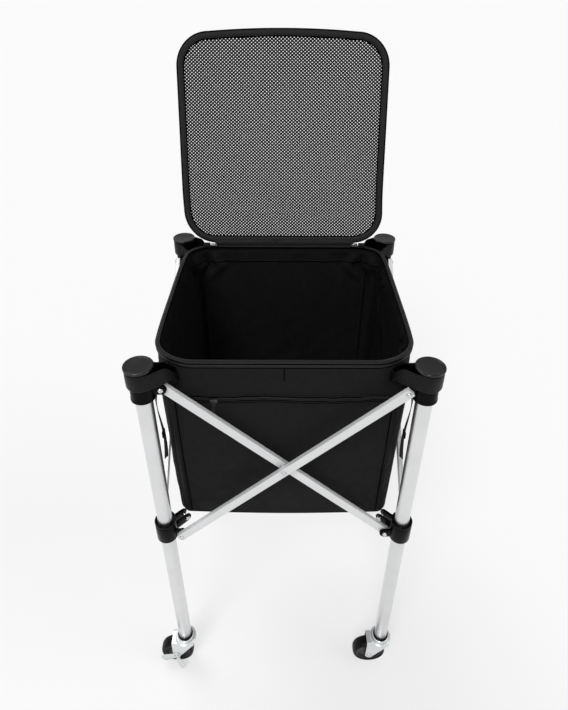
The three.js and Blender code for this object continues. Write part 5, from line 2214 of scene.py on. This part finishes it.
@dataclass
class CornerLoops:
    """Satin bands wrapped round the brackets under the caps and sewn to the bag's corners."""

    wrap: float = 21.55 * MM
    thickness: float = 2.3 * MM
    start: float = math.radians(-135)
    top: float = 6.4 * MM
    low: float = 37.4 * MM
    crown: float = 0.5 * MM

    def build(self, palette: Palette) -> None:
        """Makes the loop at each corner, and its sewing.

        Args:
            palette: The finishes.
        """
        for corner in Corner:
            self._loop(palette, corner)

    def _loop(self, palette: Palette, corner: Corner) -> None:
        """Makes one corner's band, its sewing and the cloth that closes it below, drawn near black as painted
        shade in the loop's hollow.

        Args:
            palette: The finishes.
            corner: The corner.
        """
        rear = corner.label.startswith("rear")
        path, out, top, low = self._line(rear)
        face = np.array([[-1, 0.35], [-0.985, 0.75], [-0.94, 1], [-0.5, 1], [0, 1], [0.5, 1], [0.94, 1],
                         [0.985, 0.75], [1, 0.35]])
        level = np.r_[face[:, 0], face[::-1, 0]]
        depth = np.r_[face[:, 1], -face[::-1, 1]] * self.thickness / 2
        run = np.r_[0, np.cumsum(np.linalg.norm(np.diff(path, axis=0), axis=1))]
        wave = 0.5 * MM * ripples(run, run * 0, 8, 0.05, 5)[:, None] * (1 - level**2)[None]
        depth = depth[None] + self.crown * (1 - level**2)[None] + wave
        height = -(top + low)[:, None] / 2 + (low - top)[:, None] / 2 * level[None]
        flat = path[:, None] + out[:, None] * depth[..., None]
        band = np.concatenate([flat, height[..., None]], -1)
        cloth = np.stack([np.broadcast_to(run[:, None], height.shape), height], -1)
        way = np.concatenate([out, np.zeros((len(out), 1))], 1)
        fine = np.linspace(0, run[-1], 220)
        edges = []
        for drop in (top + 2.6 * MM, low - 2.6 * MM):
            row = np.concatenate([path + out * (self.thickness / 2 + 0.05 * MM), -drop[:, None]], 1)
            edges.append(np.stack([np.interp(fine, run, row[:, axis]) for axis in range(3)], -1))
        fine_way = np.stack([np.interp(fine, run, way[:, axis]) for axis in range(3)], -1)
        lift = facing([0.0, 0.0, 1.0], fine_way)
        body = f"frame_{corner.label}"
        skin = Skin().closed(to_corner(band, corner, CART.cap_top), cloth=cloth)
        node = f"bag_corner_loop_{corner.label}"
        piece = palette.place(skin, f"loop_{corner.label}", "band", body, node, sharp=60)
        sewn = Skin()
        for row in edges:
            sewn.closed(to_corner(thread(row, fine_way, lift), corner, CART.cap_top))
        palette.place(sewn, f"loop_stitches_{corner.label}", "thread", body, sharp=80)
        # The web closes the loop below; its near-black colour is painted shade in the hollow between the
        # straps.
        web = Skin().closed(to_corner(self._web(rear), corner, CART.cap_top))
        palette.place(web, f"loop_shade_web_{corner.label}", "seam", body)

    def _web(self, rear: bool) -> np.ndarray:
        """The cloth that closes the loop below: a plate outlined by both straps and the bracket, coloured
        near black as painted shade.
        """
        path = self._line(rear)[0]
        leave = np.abs(np.linalg.norm(path, axis=1) - self.wrap) > 0.01 * MM
        index = np.flatnonzero(~leave)
        side, end = path[: index[0]], path[index[-1] + 1 :]
        turn = np.linspace(math.radians(-66), math.radians(110), 14)
        arc = (self.wrap - 1 * MM) * np.stack([np.cos(turn), np.sin(turn)], -1)
        outline = np.concatenate([end[:-1], side[1:], arc[::-1]])
        level = plate(outline, 0, 1.2 * MM, 0.3 * MM)
        return np.stack([level[..., 0], level[..., 2], level[..., 1] - 27 * MM], -1)

    def _line(self, rear: bool) -> tuple[np.ndarray, ...]:
        """The whole band in plan about its leg, from its seam on the side wall to its seam on the end wall.

        Args:
            rear: Whether the corner is a rear one, where the bag is squarer and so lies closer to its leg.

        Returns:
            Points, outward directions, and how far the top and bottom edges lie below the cap.
        """
        end_seam, side_seam = ((52.5, 23.3), (24.6, 38.5)) if rear else ((51.5, 27.6), (32.5, 38.5))
        end = self._half(math.radians(-70), 48 * MM, np.array(end_seam) * MM, 34 * MM, 0.42, 54 * MM)
        side = self._half(math.radians(-246), 16 * MM, np.array(side_seam) * MM, 24 * MM, 0.0, 47 * MM)
        return tuple(np.concatenate([back[1:][::-1], ahead]) for back, ahead in zip(side, end))

    def _half(
        self, leave: float, bow: float, seam: np.ndarray, top: float, held: float, low: float
    ) -> tuple[np.ndarray, ...]:
        """Half the band: an arc round the bracket, then a bow to its seam.

        The bow is (1 - s)^2 a + 2 s (1 - s) b + s^2 c.

        Args:
            leave: The angle at which the band leaves the bracket.
            bow: How far it runs on before it turns to its seam.
            seam: The seam's place about the leg.
            top: How far the top edge lies below the cap at the seam.
            held: The share of the bow along which the top edge stays level.
            low: How far the bottom edge lies below the cap at the seam.

        Returns:
            Points, outward directions, and how far the top and bottom edges lie below the cap.
        """
        way = 1.0 if leave > self.start else -1.0
        turn = np.linspace(self.start, leave, 18)
        arc = np.stack([np.cos(turn), np.sin(turn)], -1) * self.wrap
        pull = arc[-1] + way * bow * np.array([-math.sin(leave), math.cos(leave)])
        s = np.linspace(0, 1, 27)[1:, None]
        curve = (1 - s) ** 2 * arc[-1] + 2 * s * (1 - s) * pull + s**2 * seam
        tangent = 2 * (1 - s) * (pull - arc[-1]) + 2 * s * (seam - pull)
        normal = way * np.stack([tangent[:, 1], -tangent[:, 0]], -1)
        normal = normal / np.linalg.norm(normal, axis=1)[:, None]
        share = np.r_[np.zeros(18), s[:, 0]]
        upper = self.top + (top - self.top) * smooth(held, 1.0, share)
        lower = self.low - 2.2 * MM * smooth(0, 0.25, share)
        lower = lower + (low - self.low + 2.2 * MM) * smooth(0.6, 1.0, share)
        path = np.concatenate([arc, curve])
        out = np.concatenate([arc / self.wrap, normal])
        return path, out, upper, lower


@dataclass
class SideStraps:
    """The webbing tails that hang beside the bag's front corners, each through a small buckle."""

    width: float = 10 * MM
    thickness: float = 1.3 * MM
    place: float = -203 * MM

    def build(self, palette: Palette) -> None:
        """Makes a strap and its buckle on each side.

        Args:
            palette: The finishes.
        """
        knots = np.array([[205.8, 838], [209.5, 824], [213.4, 800], [212.4, 774], [209.0, 740], [207.4, 716],
                          [208.2, 690], [210.2, 664]]) * MM
        run = np.linspace(0, len(knots) - 1, 60)
        index = np.arange(len(knots))
        line = np.stack([np.interp(run, index, knots[:, axis]) for axis in range(2)], -1)
        for _ in range(6):
            line[1:-1] = (line[:-2] + 2 * line[1:-1] + line[2:]) / 4
        tangent = np.gradient(line, axis=0)
        normal = np.stack([-tangent[:, 1], tangent[:, 0]], -1)
        normal = normal / np.linalg.norm(normal, axis=1)[:, None]
        half, thick = self.width / 2, self.thickness / 2
        section = rectangle(half, thick)
        section = rounded(section, 0.5 * MM, 3)
        twist = math.radians(35) * np.cos(np.linspace(0, 2.5, len(line)))
        across = np.stack([np.sin(twist), np.cos(twist), 0 * twist], -1)
        for label, side in (("left", -1), ("right", 1)):
            flip = np.array([side, 1, 1])
            path = np.stack([line[:, 0], np.full(len(line), self.place), line[:, 1]], -1)
            out = np.stack([normal[:, 0] * np.cos(twist), -np.sin(twist), normal[:, 1]], -1)
            strap = Skin().closed(swept(path, section, across, out) * flip)
            piece = palette.place(strap, f"side_strap_{label}", "webbing", f"frame_front_{label}")
            shape = rectangle(6.5, 7) * MM
            frame = plate(rounded(shape, 2 * MM, 5), -1.6 * MM, 1.6 * MM, 0.6 * MM)
            axes = [208.6 * MM + frame[..., 1], self.place + frame[..., 0], 724 * MM + frame[..., 2]]
            frame = np.stack(axes, -1)
            buckle = Skin().closed(frame * flip)
            palette.place(buckle, f"strap_buckle_{label}", "gloss", f"frame_front_{label}")


@dataclass
class Lid:
    """The mesh lid, leaning back on the rear rim: a bound hoop and its zip, a net and a hinge strip."""

    width: float = 431 * MM
    height: float = 432 * MM
    foot: float = 890 * MM
    corner: float = 66 * MM
    bow: float = 6 * MM
    border: float = 15.5 * MM
    thickness: float = 8 * MM
    hinge: tuple[float, float] = (203 * MM, 884.5 * MM)
    lean: float = math.radians(15)
    pitch: float = 7.4 * MM
    row: float = 3.3 * MM
    hole: float = 0.41
    drift: float = 4 * MM
    strand: float = 0.8 * MM
    strip_half: float = 153 * MM

    def build(self, palette: Palette) -> None:
        """Makes the hoop, its edging, the net and the hinge strip.

        Args:
            palette: The finishes.
        """
        self._hoop(palette)
        self._net(palette)
        self._strip(palette)

    def outline(self, inset: float) -> np.ndarray:
        """The hoop's outline in X and Z, drawn in by an inset; its top edge bows up by a parabola.

        Args:
            inset: The distance inwards.

        Returns:
            The outline, anticlockwise, one row for each point.
        """
        right, low = self.width / 2 - inset, self.foot + inset
        high = self.foot + self.height - self.bow - inset
        corners = np.array([[-right, low], [right, low], [right, high], [-right, high]])
        points = rounded(corners, self.corner - inset, 16)
        spread = np.linspace(0, 1, 24)[1:-1, None]
        jumps = np.linalg.norm(np.roll(points, -1, 0) - points, axis=1)
        for index in np.flatnonzero(jumps > 20 * MM)[::-1]:
            after = (index + 1) % len(points)
            extra = points[index] + (points[after] - points[index]) * spread
            points = np.insert(points, index + 1, extra, axis=0)
        flat = np.clip(1 - (points[:, 0] / (right - self.corner + inset)) ** 2, 0, 1)
        points[:, 1] += self.bow * flat * (points[:, 1] > high - 1 * MM)
        return points

    def _leant(self, points: np.ndarray) -> np.ndarray:
        """Leans upright points back about the hinge line, and lets them drift left as the slack zip does."""
        place = np.array([0, *self.hinge])
        drift = self.drift * smooth(self.foot, self.foot + 0.12, points[..., 2])
        leant = turn_x(points - place, -self.lean) + place
        leant[..., 0] -= drift
        return leant

    def _fold(self, piece: bpy.types.Object) -> bpy.types.Object:
        """Gives a piece of the lid a mesh of its own."""
        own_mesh(piece)
        return piece

    def _hoop(self, palette: Palette) -> None:
        """The binding: a soft section round the outline, with near-black cords at its edges as painted shade,
        its zip and its sewing.
        """
        middle = self.hinge[0] + self.thickness / 2
        outline = self.outline(self.border / 2)
        path = np.stack([outline[:, 0], np.full(len(outline), middle), outline[:, 1]], -1)
        flat = outline_normals(outline)
        out = np.stack([flat[:, 0], np.zeros(len(flat)), flat[:, 1]], -1)
        lift = facing([0.0, -1.0, 0.0], out)
        half, thick = self.border / 2, self.thickness / 2
        corners = np.array([
            [-half, -thick * 0.2],
            [-half * 0.45, -thick * 0.7],
            [-half * 0.1, -thick],
            [half, -thick * 0.9],
            [half, thick * 0.9],
            [-half * 0.1, thick],
            [-half * 0.45, thick * 0.7],
            [-half, thick * 0.2],
        ])
        section = rounded(corners, np.array([1, 1, 2, 3.4, 3.4, 2, 1, 1]) * MM, 4)
        skin = Skin().grid(self._leant(swept(path, section, out, lift)), wrap=True, ring=True)
        piece = palette.place(skin, "lid_binding", "webbing", "lid", "lid_frame", sharp=70)
        self._fold(piece)
        # Painted shade: near-black cords along the binding's outer edges and its inner edge, where it turns
        # from the light.
        cords = Skin()
        for across, deep in ((half - 1.3 * MM, thick - 0.8 * MM), (half - 1.3 * MM, -thick + 0.8 * MM),
                             (-half + 1.0 * MM, thick * 0.35)):
            line = path + out * across + lift * deep
            cords.grid(self._leant(round_cord(line, out, lift, 1.3 * MM)), wrap=True, ring=True)
        self._fold(palette.place(cords, "lid_shade_cords", "seam", "lid", sharp=80))
        fine = self._resampled(path + out * (half - 0.1 * MM), 0.85 * MM)
        fine_out = self._resampled_like(out, path, len(fine))
        size = (0.85 + 0.3 * np.sin(np.arange(len(fine)) * np.pi / 1.5)) * MM
        up = facing([0.0, -1.0, 0.0], fine)
        teeth = Skin().grid(self._leant(round_cord(fine, fine_out, up, size, 6)), wrap=True, ring=True)
        self._fold(palette.place(teeth, "lid_zip", "satin", "lid"))
        line = self._resampled(path - out * 3.4 * MM + lift * (thick * 0.62), 1.0 * MM)
        line_out = self._resampled_like(out, path, len(line))
        up = facing([0.0, -1.0, 0.0], line)
        sewn = Skin().grid(self._leant(thread(line, up, line_out)), wrap=True, ring=True)
        self._fold(palette.place(sewn, "lid_stitches", "thread", "lid", sharp=80))

    @staticmethod
    def _resampled(path: np.ndarray, step: float) -> np.ndarray:
        """A closed path with evenly laid points, a step apart."""
        closed = np.concatenate([path, path[:1]])
        run = np.r_[0, np.cumsum(np.linalg.norm(np.diff(closed, axis=0), axis=1))]
        count = int(run[-1] / step) // 4 * 4
        at = np.arange(count) / count * run[-1]
        return np.stack([np.interp(at, run, closed[:, axis]) for axis in range(3)], -1)

    @staticmethod
    def _resampled_like(values: np.ndarray, path: np.ndarray, count: int) -> np.ndarray:
        """Directions along a closed path, read at evenly laid points."""
        closed = np.concatenate([path, path[:1]])
        run = np.r_[0, np.cumsum(np.linalg.norm(np.diff(closed, axis=0), axis=1))]
        at = np.arange(count) / count * run[-1]
        around = np.concatenate([values, values[:1]])
        return np.stack([np.interp(at, run, around[:, axis]) for axis in range(3)], -1)

    def _net(self, palette: Palette) -> None:
        """The net in two halves: staggered diamond cells, each with a hole of the same shape at its middle.

        Cell centres lie at (i + j / 2) pitch across and j row up. A cell keeps its ring of four quads
        between its corners and its hole's.
        """
        columns = int(self.width / self.pitch) + 2
        rows = int(self.height / self.row) + 2
        i, j = np.meshgrid(np.arange(-columns, columns + 1), np.arange(rows + 1))
        x = ((i + 0.5 * (j % 2)) * self.pitch).ravel()
        z = (self.foot + j * self.row).ravel()
        kept = self._inside(x, z, self.border - 4 * MM)
        x, z = x[kept], z[kept]
        for label, chosen in (("left", x < 0), ("right", x >= 0)):
            net = self._net_half(f"lid_net_{label}", x[chosen], z[chosen], palette["net"])
            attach(net, "lid")
            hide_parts("lid_mesh")
            self._fold(net)

    def _net_half(
        self, name: str, x: np.ndarray, z: np.ndarray, material: bpy.types.Material
    ) -> bpy.types.Object:
        """One half of the net, from its cells' centres.

        Args:
            name: The piece's name.
            x: The centres' places across.
            z: Their heights, before the lid leans.
            material: The net's finish.

        Returns:
            The piece.
        """
        way = np.array([[1, 0], [0, 1], [-1, 0], [0, -1]]) * [self.pitch / 2, self.row]
        centre = np.stack([x, z], -1)[:, None]
        flat = np.concatenate([centre + way[None], centre + way[None] * self.hole], 1).reshape(-1, 2)
        turn = np.arange(4)
        ring = np.stack([turn, (turn + 1) % 4, (turn + 1) % 4 + 4, turn + 4], -1)
        faces = (np.arange(len(x))[:, None, None] * 8 + ring[None]).reshape(-1, 4)
        wave = 1.1 * MM * ripples(flat[:, 0], flat[:, 1], 5, 0.3, 5)
        depth = self.hinge[0] + self.thickness / 2 + wave
        mesh = bpy.data.meshes.new(name)
        points = self._leant(np.stack([flat[:, 0], depth, flat[:, 1]], -1))
        mesh.from_pydata(points.tolist(), [], faces.tolist())
        corner = np.zeros(len(mesh.loops), int)
        mesh.loops.foreach_get("vertex_index", corner)
        mesh.uv_layers.new(name="cloth").data.foreach_set("uv", flat[corner].astype(np.float32).ravel())
        work = bmesh.new()
        work.from_mesh(mesh)
        bmesh.ops.remove_doubles(work, verts=work.verts, dist=1e-5)
        bmesh.ops.recalc_face_normals(work, faces=work.faces)
        work.to_mesh(mesh)
        work.free()
        mesh.materials.append(material)
        net = bpy.data.objects.new(name, mesh)
        bpy.context.scene.collection.objects.link(net)
        solidify = net.modifiers.new("thickness", "SOLIDIFY")
        solidify.thickness = self.strand
        solidify.offset = 0.0
        LOG.info("%s: %d cells", name, len(x))
        return net

    def _inside(self, x: np.ndarray, z: np.ndarray, inset: float) -> np.ndarray:
        """Whether points lie inside the outline drawn in by an inset: the distance to a rounded box."""
        half_x = self.width / 2 - inset
        half_z = self.height / 2 - inset
        radius = self.corner - inset
        dx = np.maximum(np.abs(x) - half_x + radius, 0)
        dz = np.maximum(np.abs(z - self.foot - self.height / 2) - half_z + radius, 0)
        return np.hypot(dx, dz) < radius

    def _strip(self, palette: Palette) -> None:
        """The hinge strip: a soft doubled band from the rim to the hoop, a little fuller at its middle."""
        across = np.linspace(-1, 1, 121)
        up = np.linspace(0, 1, 15)
        share_x, share_z = np.meshgrid(across, up)
        x = share_x * self.strip_half
        z = 883.4 * MM + share_z * 13.6 * MM
        arch = np.sin(np.pi * share_z)
        bulge = 1.5 * MM * arch + 0.4 * MM * ripples(x, z, 21, 0.08, 6) * arch
        ends = smooth(1.0, 0.985, np.abs(share_x))
        front = np.stack([x, self.hinge[0] + 0.6 * MM - bulge * ends, z], -1)
        back = np.stack([x, self.hinge[0] + 1.9 * MM + 0.3 * bulge * ends, z], -1)
        skin = Skin()
        skin.grid(self._leant(front))
        skin.grid(self._leant(back))
        for rows in (np.s_[0, :], np.s_[-1, :], np.s_[:, 0], np.s_[:, -1]):
            skin.grid(self._leant(np.stack([front[rows], back[rows]])))
        piece = palette.place(skin, "hinge_strip", "webbing", "frame_rear_left", "lid_hinge_strip", sharp=70)
        self._fold(piece)
        sewn = Skin()
        wide = np.linspace(-1, 1, 290) * (self.strip_half - 2 * MM)
        for z in (886.2, 894.6):
            behind = np.full_like(wide, self.hinge[0] - 0.1 * MM)
            line = np.stack([wide, behind, np.full_like(wide, z * MM)], -1)
            way = facing([0.0, -1.0, 0.0], line)
            lift = facing([0.0, 0.0, 1.0], line)
            sewn.closed(self._leant(thread(line, way, lift)))
        self._fold(palette.place(sewn, "strip_stitches", "thread", "frame_rear_left", sharp=80))


@dataclass
class Zips:
    """The metal zip sliders, the pocket's black puller, and the fabric ends of the lid's zip."""

    half_length: float = 7 * MM
    half_width: float = 4.5 * MM
    pocket_slider: float = 4 * MM
    lid_slider: float = 6 * MM
    lid_slider_lift: float = 3 * MM
    end_offset: float = 15.5 * MM
    end_height: float = 9.5 * MM

    def build(self, palette: Palette) -> None:
        """Makes the three sliders, the puller and the two zip ends.

        Args:
            palette: The finishes.
        """
        self._slider(palette, "pocket_zip_slider", "pocket_slider", self.pocket_slider, False)
        for side in ("left", "right"):
            self._slider(palette, f"lid_zip_slider_{side}", "frame_rear_left", self.lid_slider, True)
        self._puller(palette)
        self._zip_ends(palette)

    def _slider(self, palette: Palette, node: str, body: str, height: float, lying: bool) -> None:
        """A slider: two bullet-shaped plates on a post, with a bowed bridge over them.

        Args:
            palette: The finishes.
            node: The node that it stands for.
            body: The body that it rides on.
            height: How far it stands off its zip.
            lying: Whether its back lies on the rim's top instead of a wall.
        """
        low, high = (np.array(v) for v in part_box(node))
        right, top = self.half_length, self.half_width
        shape = np.array([
            [-right, -top * 0.5],
            [0, -top],
            [right, -top],
            [right, top],
            [0, top],
            [-right, top * 0.5],
        ])
        outline = rounded(shape, np.array([2, 3, 1.4, 1.4, 3, 2]) * MM, 5)
        base = plate(outline, -0.34 * height, 0, 0.4 * MM)
        lid = plate(outline * 0.92, -0.76 * height, -0.5 * height, 0.4 * MM)
        post = plate(rounded(rectangle(2, 1) * MM, 0.5 * MM, 3),
                     -0.6 * height, -0.2 * height, 0.1 * MM)
        turn = np.linspace(0, np.pi, 17)
        bow = np.stack([-4.4 * MM * np.cos(turn), -0.66 * height - 0.2 * height * np.sin(turn), 0 * turn], -1)
        side = facing([0.0, 0.0, 1.0], bow)
        lift = np.stack([-np.cos(turn), -np.sin(turn), 0 * turn], -1)
        section = rectangle(1.2, 0.45) * MM
        section = rounded(section, 0.3 * MM, 2)
        bridge = swept(bow, section * [1, height / (4 * MM)], side, lift)
        centre = (low + high) / 2
        skin = Skin()
        for grid in (base, lid, post, bridge):
            if lying:
                grid = np.stack([grid[..., 0], grid[..., 2], -grid[..., 1]], -1)
                place = np.array([centre[0], centre[1], low[2] + self.lid_slider_lift])
            else:
                place = np.array([centre[0], high[1], centre[2]])
            skin.closed(grid + place)
        self._follow(palette.place(skin, f"slider_{node}", "steel" if lying else "nickel", body, node))

    @staticmethod
    def _follow(piece: bpy.types.Object) -> None:
        """Gives a piece of a zip a mesh of its own."""
        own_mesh(piece)

    def _puller(self, palette: Palette) -> None:
        """The puller: a black cord tape with a raised middle, and the steel link that holds it."""
        low, high = (np.array(v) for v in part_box("pocket_zip_puller"))
        round_top = (high[0] - low[0]) / 2
        shape = np.array([[low[0], low[2]], [high[0], low[2]], [high[0], high[2]], [low[0], high[2]]])
        radius = np.array([1.6 * MM, 1.6 * MM, round_top, round_top])
        body = plate(rounded(shape, radius, 8), low[1], high[1], 0.35 * MM)
        centre = (low + high) / 2
        inner = (shape - centre[[0, 2]]) * [0.56, 0.86] + centre[[0, 2]]
        ridge_plate = plate(rounded(inner, 1.2 * MM, 6), low[1] - 0.45 * MM, high[1], 0.35 * MM)
        skin = Skin().closed(body).closed(ridge_plate)
        self._follow(palette.place(skin, "puller_tape", "satin", "pocket_puller", "pocket_zip_puller"))
        turn = np.linspace(0, 2 * np.pi, 25)[:-1]
        ring = np.stack([centre[0] + 2.1 * MM * np.cos(turn), np.full(24, low[1] - 0.5 * MM),
                         high[2] + 0.4 * MM + 4.2 * MM * np.sin(turn)], -1)
        way = np.stack([np.cos(turn), 0 * turn, np.sin(turn)], -1)
        lift = facing([0.0, -1.0, 0.0], ring)
        link = Skin().grid(round_cord(ring, way, lift, 0.5 * MM, 8), wrap=True, ring=True)
        self._follow(palette.place(link, "puller_link", "nickel", "pocket_puller"))

    def _zip_ends(self, palette: Palette) -> None:
        """The folded fabric ends of the lid's zip, beside its sliders on the rim."""
        for label, side in (("left", -1), ("right", 1)):
            low, high = (np.array(v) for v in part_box(f"lid_zip_slider_{label}"))
            centre = (low + high) / 2
            inner = centre[0] + side * self.end_offset
            shape = rectangle(7, 4.2) * MM
            grid = plate(rounded(shape, 1.6 * MM, 5), -self.end_height, 0, 1.4 * MM)
            grid = np.stack([grid[..., 0], grid[..., 2], -grid[..., 1]], -1)
            grid = grid + [inner, centre[1], low[2] - 0.6 * MM]
            skin = Skin().closed(grid)
            self._follow(palette.place(skin, f"zip_end_{label}", "webbing", "frame_rear_left"))


def main() -> None:
    """Builds the studio and every sub-assembly in order."""
    logging.basicConfig(level=logging.INFO, format="%(name)s: %(message)s")
    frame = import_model()
    Studio().build()
    palette = Palette()
    assemblies = [
        Legs(), TopBrackets(), SliderCollars(), CrossedBars(), Casters(),
        Bag(), CornerLoops(), SideStraps(), Lid(), Zips(),
    ]
    for assembly in assemblies:
        assembly.build(palette)
        LOG.info("%s done", type(assembly).__name__)
    LOG.info("%d nodes in the frame", len(frame["nodes"]))


if __name__ == "__main__":
    main()
